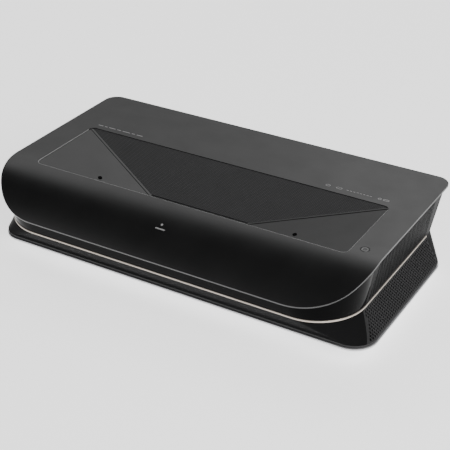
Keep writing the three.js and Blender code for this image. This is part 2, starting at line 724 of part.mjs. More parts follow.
function lensBarrel() {
  const body = rod('y', LENS_RADIUS, 84, 0, -30, LENS_Z, 28);
  const flange = rod('y', LENS_RADIUS + 8, 4, 0, 10, LENS_Z, 28);
  const nose = rod('y', LENS_RADIUS - 4, 12, 0, -77, LENS_Z, 28);
  return body.add(flange).add(nose);
}

function focusRing() {
  const ring = rod('y', FOCUS_RADIUS, 10, 0, FOCUS_Y, LENS_Z, 32);
  const bore = rod('y', LENS_RADIUS + 0.6, 30, 0, FOCUS_Y, LENS_Z, 32);
  const lever = box(-3, 3, FOCUS_Y - 5, FOCUS_Y + 5, LENS_Z + FOCUS_RADIUS - 3, LENS_Z + FOCUS_RADIUS + 5);
  return ring.add(lever).subtract(bore);
}

const PINION_X = FOCUS_RADIUS + PINION_RADIUS + 0.6;

function focusPinion() {
  const wheel = rod('y', PINION_RADIUS, 10, PINION_X, FOCUS_Y, LENS_Z, 16);
  return wheel.add(rod('y', 1.5, 16, PINION_X, FOCUS_Y + 5, LENS_Z, 10));
}

function focusMotor() {
  const body = box(PINION_X - 10, PINION_X + 10, FOCUS_Y + 8, FOCUS_Y + 34, LENS_Z - 10, LENS_Z + 10);
  return body.subtract(rod('y', 2, 30, PINION_X, FOCUS_Y + 5, LENS_Z, 12));
}

/** The dished mirror in front of the lens, which throws the light back through the window. */
function concaveMirror() {
  const bowl = new THREE.SphereGeometry(MIRROR_BOWL.radius, 40, 24);
  return block('mirrorPlate').subtract(solidOf(bowl.translate(0, MIRROR_BOWL.y, MIRROR_BOWL.z)));
}

function mirrorBracket() {
  return block('bracketUpright').add(block('bracketFoot'));
}

// ---- Boards ----------------------------------------------------------------------------------------

function mainboard() {
  return block('mainboard').add(block('processor')).add(block('radioShield'));
}

function processorSink() {
  const { x, y, z, plate, finPitch, fin } = PROCESSOR_SINK;
  const cells = fins(x[0] + 1, x[1] - 2, finPitch, (place) =>
    box(place, place + fin, y[0] + 1, y[1] - 1, z[0] + plate - 0.2, z[1]));
  return box(...x, ...y, z[0], z[0] + plate).add(cells);
}

function powerSupply() {
  const { x, y, pitch, radius, height, bottom, count } = CAPACITOR;
  let board = block('supplyBoard').add(block('transformer')).add(block('inductor'));
  for (let i = 0; i < count; i += 1) {
    board = board.add(rod('z', radius, height, x + pitch * i, y, bottom + height / 2, 16));
  }
  return board;
}

function buttonCap() {
  const cap = rod('z', BUTTON.radius, 4, BUTTON.x, BUTTON.y, TOP_Z - 2.1, 24);
  return cap.add(rod('z', 2, 4, BUTTON.x, BUTTON.y, TOP_Z - 6, 12));
}

function buttonBoard() {
  const board = box(BUTTON.x - 12, BUTTON.x + 12, BUTTON.y - 9, BUTTON.y + 9, TOP_Z - 13.6, TOP_Z - 12);
  return board.add(box(BUTTON.x - 3, BUTTON.x + 3, BUTTON.y - 3, BUTTON.y + 3, TOP_Z - 12.2, TOP_Z - 9.4));
}

function remoteReceiver() {
  return block('receiverBoard').add(rod('y', 3, 4, 0, -143, 77, 14));
}

// ---- Colours and the assembly ----------------------------------------------------------------------

const FINISH = {
  cover: { color: 0x4b4b4c, roughness: 0.45, metalness: 0.3 },
  gloss: { color: 0x1c1c1d, roughness: 0.15, metalness: 0.0 },
  grille: { color: 0x242425, roughness: 0.5, metalness: 0.1 },
  trim: { color: 0xb39c8c, roughness: 0.25, metalness: 0.9 },
  steel: { color: 0x9a9b9c, roughness: 0.4, metalness: 0.8 },
  black: { color: 0x161617, roughness: 0.6, metalness: 0.0 },
  mesh: { color: 0x2c2c2d, roughness: 0.7, metalness: 0.0 },
  glass: { color: 0x30363c, roughness: 0.05, metalness: 0.0 },
  rubber: { color: 0x1a1a1a, roughness: 0.9, metalness: 0.0 },
  board: { color: 0x1f5a3a, roughness: 0.6, metalness: 0.0 },
  aluminium: { color: 0xa8aaad, roughness: 0.35, metalness: 0.9 },
  mirror: { color: 0xdadfe4, roughness: 0.03, metalness: 1.0 },
  brass: { color: 0xb08a48, roughness: 0.4, metalness: 0.9 },
};

const group = new THREE.Group();

function addPart(name, finish, solid) {
  const mesh = new THREE.Mesh(geometryOf(solid), new THREE.MeshStandardMaterial(FINISH[finish]));
  mesh.name = name;
  group.add(mesh);
}

addPart('top_cover', 'cover', topCover());
addPart('recess_tray', 'cover', recessTray());
addPart('ramp_mesh', 'mesh', rampMesh());
addPart('light_window', 'glass', windowGlass());
addPart('power_button', 'cover', buttonCap());
addPart('button_board', 'board', buttonBoard());

addPart('upper_fascia', 'gloss', upperWall().intersect(inFront(UPPER_SPLIT_Y)));
addPart('lower_fascia', 'gloss', lowerWall().intersect(inFrontOfSlant(0)));
addPart('trim_strip', 'trim', trimStrip());
addPart('rear_shell', 'black', rearShell());
addPart('port_plate', 'black', portPlate());
addPart('base_plate', 'steel', basePlate());
addPart('base_tray', 'black', baseTray());

for (const [side, word] of [[-1, 'left'], [1, 'right']]) {
  addPart(`eye_sensor_${word}`, 'glass', eyeSensor(side));
  addPart(`upper_grille_${word}`, 'grille', upperGrille(side));
  addPart(`lower_grille_${word}`, 'grille', lowerGrille(side));
  addPart(`fan_frame_${word}`, 'black', fanFrame(side));
  addPart(`fan_rotor_${word}`, 'black', fanRotor(side));
  addPart(`speaker_box_${word}`, 'black', speakerBox(side));
  addPart(`speaker_cone_${word}`, 'rubber', speakerCone(side));
}

for (const foot of feet) {
  addPart(`foot_pad_${foot.name}`, 'rubber', footPad(foot));
  addPart(`foot_screw_${foot.name}`, 'black', footScrew(foot));
}

for (const socket of SOCKETS) {
  addPart(socket.name, socket.name === 'power_inlet' ? 'black' : 'steel', socketBody(socket));
}

addPart('laser_module', 'aluminium', laserModule());
addPart('heat_sink', 'aluminium', heatSink());
addPart('optical_engine', 'aluminium', opticalEngine());
addPart('diffuser_wheel', 'glass', diffuserWheel());
addPart('wheel_motor', 'black', wheelMotor());
addPart('picture_board', 'board', pictureBoard());
addPart('lens_barrel', 'black', lensBarrel());
addPart('focus_ring', 'black', focusRing());
addPart('focus_pinion', 'brass', focusPinion());
addPart('focus_motor', 'steel', focusMotor());
addPart('concave_mirror', 'mirror', concaveMirror());
addPart('mirror_bracket', 'steel', mirrorBracket());
addPart('mainboard', 'board', mainboard());
addPart('processor_sink', 'aluminium', processorSink());
addPart('power_supply', 'board', powerSupply());
addPart('remote_receiver', 'glass', remoteReceiver());

export default group;
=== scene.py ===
"""Home projector of the ultra-short-throw kind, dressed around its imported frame.

The casing is rebuilt at a finer grain than the frame's solids: the bent top cover, the three-faced recess
and its mesh, the glossy fascias, the perforated side grilles, the trim strip, the base, the rear shell
with its sockets and the feet. The pieces inside stay as the frame has them and get their finishes.
Sizes are in millimetres until a piece is finished; the finished meshes are in metres.
"""

import json
import logging
import math
from collections.abc import Callable, Iterable, Sequence
from dataclasses import dataclass
from enum import Enum
from functools import cache

import bmesh
import bpy
from mathutils import Matrix, Vector


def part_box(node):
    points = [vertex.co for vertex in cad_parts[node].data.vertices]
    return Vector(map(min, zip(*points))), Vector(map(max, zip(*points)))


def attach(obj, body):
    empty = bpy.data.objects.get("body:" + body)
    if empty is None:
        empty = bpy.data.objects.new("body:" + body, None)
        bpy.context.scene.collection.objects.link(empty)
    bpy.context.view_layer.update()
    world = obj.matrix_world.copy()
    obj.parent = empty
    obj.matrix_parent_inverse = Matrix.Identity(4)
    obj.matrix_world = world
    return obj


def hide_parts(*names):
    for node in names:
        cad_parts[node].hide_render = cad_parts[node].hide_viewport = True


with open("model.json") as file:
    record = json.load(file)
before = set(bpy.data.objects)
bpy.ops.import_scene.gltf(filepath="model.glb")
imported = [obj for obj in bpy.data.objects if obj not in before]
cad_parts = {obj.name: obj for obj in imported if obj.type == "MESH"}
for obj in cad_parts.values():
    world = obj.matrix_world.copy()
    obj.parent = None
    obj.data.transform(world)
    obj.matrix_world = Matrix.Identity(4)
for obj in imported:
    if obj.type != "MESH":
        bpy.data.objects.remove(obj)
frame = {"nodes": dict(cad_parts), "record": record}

log = logging.getLogger("projector")

MM = 0.001
HOUSING = "housing"


# ---- Places read from the frame ---------------------------------------------------------------------


@cache
def low(node: str) -> Vector:
    """The lowest corner of a frame node, in millimetres."""
    return (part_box(node)[0] / MM).freeze()


@cache
def high(node: str) -> Vector:
    """The highest corner of a frame node, in millimetres."""
    return (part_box(node)[1] / MM).freeze()


def middle(node: str) -> Vector:
    """The middle of a frame node's box, in millimetres."""
    return (low(node) + high(node)) / 2


# ---- Node trees ---------------------------------------------------------------------------------------


class Tree:
    """A material's node tree, with short calls for the nodes that the finishes share."""

    def __init__(self, name: str) -> None:
        """Starts an empty material with a principled shader.

        Args:
            name: the material's name.
        """
        self.material = bpy.data.materials.new(name)
        self.material.use_nodes = True
        self.nodes = self.material.node_tree.nodes
        self.links = self.material.node_tree.links
        self.shader = self.nodes["Principled BSDF"]
        self.coordinates = self.nodes.new("ShaderNodeTexCoord")

    def set(self, **values: object) -> None:
        """Sets sockets of the shader; an underscore in a name stands for a space."""
        for key, value in values.items():
            self.shader.inputs[key.replace("_", " ")].default_value = value

    def place(self, scale: Sequence[float]) -> bpy.types.NodeSocket:
        """Object coordinates, scaled.

        Args:
            scale: the scale along each axis, in repeats to the metre.

        Returns:
            The vector socket.
        """
        mapping = self.nodes.new("ShaderNodeMapping")
        mapping.inputs["Scale"].default_value = scale
        self.links.new(self.coordinates.outputs["Object"], mapping.inputs["Vector"])
        return mapping.outputs["Vector"]

    def noise(self, scale: Sequence[float], detail: float = 2.0) -> bpy.types.NodeSocket:
        """A noise value.

        Args:
            scale: grains to the metre along each axis.
            detail: how many finer layers the noise has.

        Returns:
            The value socket.
        """
        node = self.nodes.new("ShaderNodeTexNoise")
        node.inputs["Scale"].default_value = 1.0
        node.inputs["Detail"].default_value = detail
        self.links.new(self.place(scale), node.inputs["Vector"])
        return node.outputs["Fac"]

    def weave(self, pitch: float) -> bpy.types.NodeSocket:
        """Two crossed sets of threads, as a height.

        Args:
            pitch: distance between threads in millimetres.

        Returns:
            The height socket.
        """
        bands = []
        for axis in ("X", "Y"):
            wave = self.nodes.new("ShaderNodeTexWave")
            wave.bands_direction = axis
            wave.inputs["Scale"].default_value = 1.0
            wave.inputs["Distortion"].default_value = 0.0
            # One wave takes 20 units of this node's space to a full turn of two pi.
            repeat = 2 * math.pi / 20 / (pitch * MM)
            self.links.new(self.place((repeat, repeat, repeat)), wave.inputs["Vector"])
            bands.append(wave.outputs["Fac"])
        return self.math("MULTIPLY", bands[0], bands[1])

    def math(self, operation: str, first: object, second: object) -> bpy.types.NodeSocket:
        """One math node.

        Args:
            operation: the node's operation.
            first: a socket or a number.
            second: a socket or a number.

        Returns:
            The result's socket.
        """
        node = self.nodes.new("ShaderNodeMath")
        node.operation = operation
        for index, value in enumerate((first, second)):
            if isinstance(value, bpy.types.NodeSocket):
                self.links.new(value, node.inputs[index])
            else:
                node.inputs[index].default_value = value
        return node.outputs[0]

    def spread(self, value: bpy.types.NodeSocket, low_end: float, high_end: float) -> bpy.types.NodeSocket:
        """Maps a value between 0.3 and 0.7 onto another range.

        Args:
            value: the value, as a noise gives it.
            low_end: the result at 0.3.
            high_end: the result at 0.7.

        Returns:
            The result's socket.
        """
        node = self.nodes.new("ShaderNodeMapRange")
        node.inputs["From Min"].default_value = 0.3
        node.inputs["From Max"].default_value = 0.7
        node.inputs["To Min"].default_value = low_end
        node.inputs["To Max"].default_value = high_end
        self.links.new(value, node.inputs["Value"])
        return node.outputs["Result"]

    def tint(self, value: bpy.types.NodeSocket, dark: Sequence[float], light: Sequence[float]) -> None:
        """Colours the shader between two colours.

        Args:
            value: the value that picks the colour, from 0 to 1.
            dark: the colour at 0.35.
            light: the colour at 0.65.
        """
        ramp = self.nodes.new("ShaderNodeValToRGB")
        ramp.color_ramp.elements[0].position = 0.35
        ramp.color_ramp.elements[1].position = 0.65
        ramp.color_ramp.elements[0].color = (*dark, 1.0)
        ramp.color_ramp.elements[1].color = (*light, 1.0)
        self.links.new(value, ramp.inputs["Fac"])
        self.links.new(ramp.outputs["Color"], self.shader.inputs["Base Color"])

    def rough(self, value: bpy.types.NodeSocket) -> None:
        """Drives the shader's roughness."""
        self.links.new(value, self.shader.inputs["Roughness"])

    def bump(self, height: bpy.types.NodeSocket, depth: float) -> None:
        """Adds relief.

        Args:
            height: the height value, from 0 to 1.
            depth: the relief's full depth in millimetres.
        """
        node = self.nodes.new("ShaderNodeBump")
        node.inputs["Strength"].default_value = 1.0
        node.inputs["Distance"].default_value = depth * MM
        self.links.new(height, node.inputs["Height"])
        self.links.new(node.outputs["Normal"], self.shader.inputs["Normal"])


Colour = tuple[float, float, float]


def shaded(colour: Colour, factor: float) -> Colour:
    """The same colour, darker or lighter."""
    return tuple(min(1.0, channel * factor) for channel in colour)


@dataclass(frozen=True)
class Finish:
    """A plain finish: a colour and a gloss, each a little uneven, with a fine grain."""

    name: str
    colour: Colour
    roughness: float
    metallic: float = 0.0
    specular: float = 0.5
    grain: float = 0.6
    grain_depth: float = 0.01
    unevenness: float = 0.08

    @cache
    def material(self) -> bpy.types.Material:
        """The finish's material, made once."""
        tree = Tree(self.name)
        self.dress(tree)
        return tree.material

    def dress(self, tree: Tree) -> None:
        """Fills in a new material's nodes.

        Args:
            tree: the material's tree.
        """
        tree.set(Metallic=self.metallic, Specular_IOR_Level=self.specular)
        cloud = tree.noise((9.0, 9.0, 9.0), 3.0)
        tree.tint(cloud, shaded(self.colour, 1 - self.unevenness), shaded(self.colour, 1 + self.unevenness))
        smear = tree.noise((26.0, 26.0, 26.0), 4.0)
        tree.rough(tree.spread(smear, self.roughness - 0.03, self.roughness + 0.03))
        fine = 1 / (self.grain * MM)
        tree.bump(tree.noise((fine, fine, fine), 2.0), self.grain_depth)


@dataclass(frozen=True)
class BrushedMetal(Finish):
    """A metal with fine lines along X."""

    def dress(self, tree: Tree) -> None:
        """Fills in a new material's nodes."""
        tree.set(Metallic=self.metallic, Specular_IOR_Level=self.specular)
        lines = tree.noise((18.0, 2600.0, 2600.0), 3.0)
        tree.tint(lines, shaded(self.colour, 0.88), shaded(self.colour, 1.1))
        tree.rough(tree.spread(lines, self.roughness - 0.06, self.roughness + 0.06))
        tree.bump(lines, self.grain_depth)


@dataclass(frozen=True)
class WovenMesh(Finish):
    """A fine woven cloth, stretched flat."""

    pitch: float = 1.5

    def dress(self, tree: Tree) -> None:
        """Fills in a new material's nodes."""
        tree.set(Metallic=self.metallic, Specular_IOR_Level=self.specular, Roughness=self.roughness)
        threads = tree.weave(self.pitch)
        uneven = tree.math("ADD", threads, tree.math("MULTIPLY", tree.noise((40.0, 40.0, 40.0), 2.0), 0.25))
        tree.tint(uneven, shaded(self.colour, 0.55), shaded(self.colour, 1.35))
        tree.bump(threads, self.grain_depth)


@dataclass(frozen=True)
class ClearGlass(Finish):
    """Coated glass with a faint smear."""

    transmission: float = 0.9

    def dress(self, tree: Tree) -> None:
        """Fills in a new material's nodes."""
        tree.set(Base_Color=(*self.colour, 1.0), Transmission_Weight=self.transmission, IOR=1.5)
        tree.rough(tree.spread(tree.noise((30.0, 30.0, 30.0), 3.0), self.roughness, self.roughness + 0.04))


@dataclass(frozen=True)
class CircuitBoard(Finish):
    """Solder resist over a net of copper tracks."""

    def dress(self, tree: Tree) -> None:
        """Fills in a new material's nodes."""
        tree.set(Specular_IOR_Level=self.specular, Roughness=self.roughness)
        brick = tree.nodes.new("ShaderNodeTexBrick")
        brick.inputs["Scale"].default_value = 1.0
        brick.inputs["Mortar Size"].default_value = 0.04
        brick.inputs["Color1"].default_value = (*self.colour, 1.0)
        brick.inputs["Color2"].default_value = (*shaded(self.colour, 0.8), 1.0)
        brick.inputs["Mortar"].default_value = (*shaded(self.colour, 2.2), 1.0)
        tree.links.new(tree.place((160.0, 160.0, 160.0)), brick.inputs["Vector"])
        tree.links.new(brick.outputs["Color"], tree.shader.inputs["Base Color"])
        tree.bump(brick.outputs["Fac"], self.grain_depth)


COVER_PAINT = Finish("cover_paint", (0.005, 0.005, 0.0052), 0.34, grain=0.5, grain_depth=0.006)
RECESS_PAINT = Finish("recess_paint", (0.005, 0.005, 0.0052), 0.36, grain=0.5, grain_depth=0.006)
GLOSS_BLACK = Finish(
    "fascia_gloss", (0.003, 0.003, 0.0031), 0.08, specular=0.012, grain=3.0, grain_depth=0.002)
LOWER_GLOSS = Finish(
    "lower_gloss", (0.008, 0.008, 0.0082), 0.12, specular=0.0005, grain=3.0, grain_depth=0.002)
UPPER_GRILLE = Finish(
    "upper_grille_black", (0.012, 0.012, 0.0123), 0.36, specular=0.012, grain=0.5, grain_depth=0.006)
LOWER_GRILLE = Finish(
    "lower_grille_black", (0.026, 0.026, 0.0265), 0.36, specular=0.08, grain=0.5, grain_depth=0.006)
CHAMPAGNE = BrushedMetal("champagne_trim", (0.52, 0.46, 0.40), 0.32, metallic=0.5, grain_depth=0.002)
PLATE_STEEL = BrushedMetal("plate_steel", (0.62, 0.62, 0.63), 0.36, metallic=0.5, grain_depth=0.004)
SOCKET_STEEL = BrushedMetal("socket_steel", (0.50, 0.50, 0.50), 0.28, metallic=1.0, grain_depth=0.003)
REAR_PLASTIC = Finish(
    "rear_moulding", (0.010, 0.010, 0.0104), 0.52, specular=0.08, grain=0.8, grain_depth=0.03)
INNER_PLASTIC = Finish("inner_moulding", (0.010, 0.010, 0.0105), 0.55, grain=0.9, grain_depth=0.02)
RAMP_CLOTH = WovenMesh("ramp_cloth", (0.040, 0.040, 0.041), 0.62, specular=0.25, grain_depth=0.2, pitch=2.4)
WINDOW_GLASS = ClearGlass("coated_glass", (0.45, 0.50, 0.56), 0.02)
WHEEL_GLASS = ClearGlass("ground_glass", (0.85, 0.88, 0.90), 0.25, transmission=0.6)
SOFT_RUBBER = Finish("soft_rubber", (0.014, 0.014, 0.014), 0.78, specular=0.3, grain=0.4, grain_depth=0.03)
BOARD_GREEN = CircuitBoard("board_green", (0.010, 0.060, 0.028), 0.4, grain_depth=0.03)
CAST_ALUMINIUM = Finish(
    "cast_aluminium", (0.52, 0.53, 0.55), 0.4, metallic=1.0, grain=0.7, grain_depth=0.03)
FRONT_MIRROR = Finish("front_mirror", (0.90, 0.92, 0.94), 0.06, metallic=1.0, grain=5.0, grain_depth=0.001)
TURNED_BRASS = BrushedMetal("turned_brass", (0.62, 0.44, 0.18), 0.3, metallic=1.0, grain_depth=0.004)
# Painted highlight: a light grey paint for the thin ring round the recess opening, standing for the light
# that the opening's edge catches.
EDGE_HIGHLIGHT_PAINT = Finish("painted_edge_highlight", (0.30, 0.30, 0.30), 0.4, grain=0.5, grain_depth=0.004)
PRINT_GREY = Finish("print_grey", (0.32, 0.32, 0.32), 0.5, grain=0.4, grain_depth=0.003)

SLOT_FINISHES = {
    "cover": COVER_PAINT,
    "gloss_black": GLOSS_BLACK,
    "grille": LOWER_GRILLE,
    "trim_metal": CHAMPAGNE,
    "base_steel": PLATE_STEEL,
    "rear_plastic": REAR_PLASTIC,
    "inner_plastic": INNER_PLASTIC,
    "mesh": RAMP_CLOTH,
    "window_glass": WINDOW_GLASS,
    "wheel_glass": WHEEL_GLASS,
    "rubber": SOFT_RUBBER,
    "circuit_board": BOARD_GREEN,
    "aluminium": CAST_ALUMINIUM,
    "mirror": FRONT_MIRROR,
    "brass": TURNED_BRASS,
    "socket_metal": SOCKET_STEEL,
}


# ---- Mesh work ----------------------------------------------------------------------------------------


def finish_piece(
    name: str,
    bm: bmesh.types.BMesh,
    finish: Finish,
    slot: str,
    stands_for: Sequence[str] = (),
    body: str = HOUSING,
    sharp: float = 35.0,
) -> bpy.types.Object:
    """slot: the record's material slot that it belongs to; not used.
        stands_for: the frame nodes that it replaces.
        body: the frame body that it rides on.
        sharp: edges that turn by more than this many degrees stay sharp.

    Returns:
        The new object.
    """
    bmesh.ops.scale(bm, vec=(MM, MM, MM), verts=bm.verts)
    mesh = bpy.data.meshes.new(name)
    bm.to_mesh(mesh)
    bm.free()
    mesh.materials.append(finish.material())
    for polygon in mesh.polygons:
        polygon.use_smooth = True
    mesh.set_sharp_from_angle(angle=math.radians(sharp))
    piece = bpy.data.objects.new(name, mesh)
    bpy.context.scene.collection.objects.link(piece)
    weights = piece.modifiers.new("Weights", "WEIGHTED_NORMAL")
    weights.keep_sharp = True
    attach(piece, body)
    if stands_for:
        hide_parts(*stands_for)
    log.info("%s: %d faces, rides on %s", name, len(mesh.polygons), body)
    return piece


def outward(bm: bmesh.types.BMesh) -> None:
    """Merges doubles and turns every face of a closed mesh outwards."""
    bmesh.ops.remove_doubles(bm, verts=bm.verts, dist=0.001)
    bmesh.ops.recalc_face_normals(bm, faces=bm.faces)
    if bm.calc_volume(signed=True) < 0:
        bmesh.ops.reverse_faces(bm, faces=bm.faces)


def soften(bm: bmesh.types.BMesh, width: float, segments: int = 2, angle: float = 40.0) -> None:
    """Rounds the edges where two faces meet at more than an angle.

    Args:
        bm: the mesh.
        width: the rounding's width.
        segments: the faces across it.
        angle: the smallest turn that is rounded, in degrees.
    """
    limit = math.radians(angle)
    edges = [edge for edge in bm.edges if edge.is_manifold and edge.calc_face_angle(0.0) > limit]
    bmesh.ops.bevel(
        bm, geom=edges, offset=width, offset_type="OFFSET", segments=segments, profile=0.5,
        affect="EDGES", clamp_overlap=True, material=-1,
    )


def add_loop(bm: bmesh.types.BMesh, points: Iterable[Vector]) -> list[bmesh.types.BMEdge]:
    """Adds a closed loop of edges.

    Args:
        bm: the mesh.
        points: the loop's corners.

    Returns:
        The loop's edges.
    """
    verts = [bm.verts.new(point) for point in points]
    return [bm.edges.new((verts[i - 1], verts[i])) for i in range(len(verts))]


def bridge_rings(bm: bmesh.types.BMesh, rings: Sequence[Sequence[Vector]], closed: bool = True) -> None:
    """Joins loops of equally many points, one to the next.

    Args:
        bm: the mesh.
        rings: the loops' points.
        closed: whether the last loop is joined to the first, or both ends get a face.
    """
    loops = [add_loop(bm, ring) for ring in rings]
    pairs = list(zip(loops, loops[1:]))
    if closed:
        pairs.append((loops[-1], loops[0]))
    for first, second in pairs:
        bmesh.ops.bridge_loops(bm, edges=first + second)
    if not closed:
        for loop in (loops[0], loops[-1]):
            bmesh.ops.contextual_create(bm, geom=loop)
    outward(bm)


def fill_loops(bm: bmesh.types.BMesh, loops: Sequence[Sequence[Vector]]) -> None:
    """Fills the first loop, leaving the others as holes, with as few faces as it can.

    Args:
        bm: the mesh.
        loops: the outline and then the holes, flat and level.
    """
    edges = [edge for loop in loops for edge in add_loop(bm, loop)]
    bmesh.ops.triangle_fill(bm, edges=edges, use_beauty=True, normal=(0.0, 0.0, 1.0))
    inner = [edge for edge in bm.edges if len(edge.link_faces) == 2]
    bmesh.ops.dissolve_limit(bm, angle_limit=0.001, verts=[], edges=inner)


def thicken_down(bm: bmesh.types.BMesh, thickness: float) -> None:
    """Gives a level sheet a thickness, downwards.

    Args:
        bm: the mesh, one level sheet.
        thickness: how thick it becomes.
    """
    made = bmesh.ops.extrude_face_region(bm, geom=bm.faces[:], use_keep_orig=True)
    moved = [item for item in made["geom"] if isinstance(item, bmesh.types.BMVert)]
    bmesh.ops.translate(bm, vec=(0.0, 0.0, -thickness), verts=moved)
    outward(bm)


def cut(bm: bmesh.types.BMesh, point: Sequence[float], normal: Sequence[float], drop: bool = False) -> None:
    """Cuts a mesh by a plane.

    Args:
        bm: the mesh.
        point: a point of the plane.
        normal: its normal.
        drop: whether what the normal points to is dropped.
    """
    geometry = bm.verts[:] + bm.edges[:] + bm.faces[:]
    bmesh.ops.bisect_plane(
        bm, geom=geometry, plane_co=point, plane_no=normal, dist=0.0001, clear_outer=drop)


def cut_across(bm: bmesh.types.BMesh, axis: int, places: Iterable[float]) -> None:
    """Cuts a mesh by planes across an axis, keeping both sides.

    Args:
        bm: the mesh.
        axis: 0, 1 or 2 for X, Y or Z.
        places: where the planes stand.
    """
    normal = Vector((0.0, 0.0, 0.0))
    normal[axis] = 1.0
    for place in places:
        cut(bm, normal * place, normal)


def keep_side(bm: bmesh.types.BMesh, point: Sequence[float], normal: Sequence[float]) -> None:
    """Cuts a closed mesh by a plane, drops what the normal points to, and closes the cut.

    Args:
        bm: the mesh.
        point: a point of the plane.
        normal: points to the side that goes.
    """
    cut(bm, point, normal, drop=True)
    rims = [edge for edge in bm.edges if edge.is_boundary]
    bmesh.ops.holes_fill(bm, edges=rims, sides=0)
    bmesh.ops.recalc_face_normals(bm, faces=bm.faces)


def bend_through(bm: bmesh.types.BMesh, place: Callable[[Vector], Vector]) -> None:
    """Moves every vertex to where a function sends it."""
    for vert in bm.verts:
        vert.co = place(vert.co)


def arc(cx: float, cy: float, radius: float, start: float, steps: int) -> list[Vector]:
    """A quarter circle.

    Args:
        cx: the centre's X.
        cy: the centre's Y.
        radius: the radius.
        start: where it starts, in degrees; it runs anticlockwise.
        steps: how many chords it has.

    Returns:
        Its points, both ends included.
    """
    points = []
    for i in range(steps + 1):
        angle = math.radians(start + 90 * i / steps)
        points.append(Vector((cx + radius * math.cos(angle), cy + radius * math.sin(angle), 0.0)))
    return points


def rounded_loop(centre: Sequence[float], half: Sequence[float], radius: float, steps: int) -> list[Vector]:
    """A level rounded rectangle.

    Args:
        centre: its middle.
        half: half its width and half its depth.
        radius: its corners' radius.
        steps: the chords in each corner.

    Returns:
        Its points, anticlockwise.
    """
    return Outline(half[0], -half[1], half[1], radius, radius).loop(steps, steps, 1, centre)


@dataclass(frozen=True)
class Outline:
    """A rounded rectangle that is symmetric left to right, with its own radii at the front and the rear."""

    half_width: float
    front: float
    rear: float
    front_radius: float
    rear_radius: float

    def inset(self, distance: float) -> "Outline":
        """The same outline, pulled in by a distance all round."""
        return Outline(
            self.half_width - distance, self.front + distance, self.rear - distance,
            self.front_radius - distance, self.rear_radius - distance,
        )

    def loop(
        self, front_steps: int, rear_steps: int, side_steps: int, centre: Sequence[float] = (0.0, 0.0)
    ) -> list[Vector]:
        """The outline's points at height zero, anticlockwise from the front left corner.

        Args:
            front_steps: the chords in each front corner.
            rear_steps: the chords in each rear corner.
            side_steps: the chords along each side.
            centre: how far it is moved in X and Y.

        Returns:
            The points.
        """
        front_y = self.front + self.front_radius
        rear_y = self.rear - self.rear_radius
        span = rear_y - front_y
        sides = [front_y + span * i / side_steps for i in range(1, side_steps)]
        points = arc(-self.half_width + self.front_radius, front_y, self.front_radius, 180, front_steps)
        points += arc(self.half_width - self.front_radius, front_y, self.front_radius, 270, front_steps)
        points += [Vector((self.half_width, y, 0.0)) for y in sides]
        points += arc(self.half_width - self.rear_radius, rear_y, self.rear_radius, 0, rear_steps)
        points += arc(-self.half_width + self.rear_radius, rear_y, self.rear_radius, 90, rear_steps)
        points += [Vector((-self.half_width, y, 0.0)) for y in reversed(sides)]
        offset = Vector((centre[0], centre[1], 0.0))
        return [point + offset for point in points]

    def half_at(self, y: float) -> float:
        """Half the outline's width at a distance from front to rear.

        Args:
            y: where it is measured.

        Returns:
            The half width, with the corners taken into account.
        """
        front_y = self.front + self.front_radius
        rear_y = self.rear - self.rear_radius
        if y < front_y:
            reach = min(front_y - y, self.front_radius)
            return self.half_width - self.front_radius + math.sqrt(self.front_radius**2 - reach**2)
        if y > rear_y:
            reach = min(y - rear_y, self.rear_radius)
            return self.half_width - self.rear_radius + math.sqrt(self.rear_radius**2 - reach**2)
        return self.half_width


# ---- The casing's shared lines ------------------------------------------------------------------------

PRINT_DEPTH = 0.04


@dataclass(frozen=True)
class Sheet:
    """The bent sheet of the top cover: flat, then a bend down, then a gentle flare outwards."""

    top: float = high("top_cover").z - PRINT_DEPTH
    thickness: float = 3.0
    bend_start: float = -72.5
    bend_radius: float = 88.0
    bend_angle: float = math.radians(40.7)
    flare_radius: float = 162.0
    flare_length: float = 46.0
    bend_step: float = 2.2

    @property
    def bend_length(self) -> float:
        """The bend's length along the sheet."""
        return self.bend_radius * self.bend_angle

    @property
    def flat_front(self) -> float:
        """Where the sheet's front edge lies before it is bent."""
        return self.bend_start - self.bend_length - self.flare_length

    def point(self, x: float, y: float, depth: float) -> Vector:
        """Where a point of the flat sheet lies once it is bent.

        Args:
            x: across the object.
            y: along the flat sheet.
            depth: how far it lies under the outer face.

        Returns:
            The place in the object.
        """
        past = max(0.0, self.bend_start - y)
        bend = min(past, self.bend_length) / self.bend_radius
        slope = bend - max(0.0, past - self.bend_length) / self.flare_radius
        out_y = max(y, self.bend_start) - self.bend_radius * math.sin(bend)
        out_y -= self.flare_radius * (math.sin(bend) - math.sin(slope))
        out_z = self.top - self.bend_radius * (1 - math.cos(bend))
        out_z -= self.flare_radius * (math.cos(slope) - math.cos(bend))
        return Vector((x, out_y + depth * math.sin(slope), out_z - depth * math.cos(slope)))

    def bend_places(self) -> list[float]:
        """Where the flat sheet is cut so that it can bend.

        Returns:
            The cuts' places along the flat sheet.
        """
        span = self.bend_start - self.flat_front
        count = math.ceil(span / self.bend_step)
        return [self.bend_start - span * i / count for i in range(count)]


SHEET = Sheet()
GAP = 0.3
WALL_THICKNESS = 2.5
COVER = Outline(292.0, SHEET.flat_front, 168.0, 94.0, 21.0)
UNDER_COVER = COVER.inset(4.5)
TRIM = Outline(277.0, -153.5, 153.5, 71.0, 20.0)
BASE = Outline(300.0, -125.0, 142.0, 35.0, 25.0)
RECESS = Outline(248.0, -86.5, 50.5, 9.0, 9.0)
TRIM_BOTTOM = low("trim_strip").z
TRIM_TOP = high("trim_strip").z
WALL_BOTTOM = low("lower_fascia").z
REAR_SPLIT = low("rear_shell").y
UPPER_SPLIT = high("upper_fascia").y
FRONT_STEPS = 28
REAR_STEPS = 10
SIDE_STEPS = 24
WALL_ROWS = 6


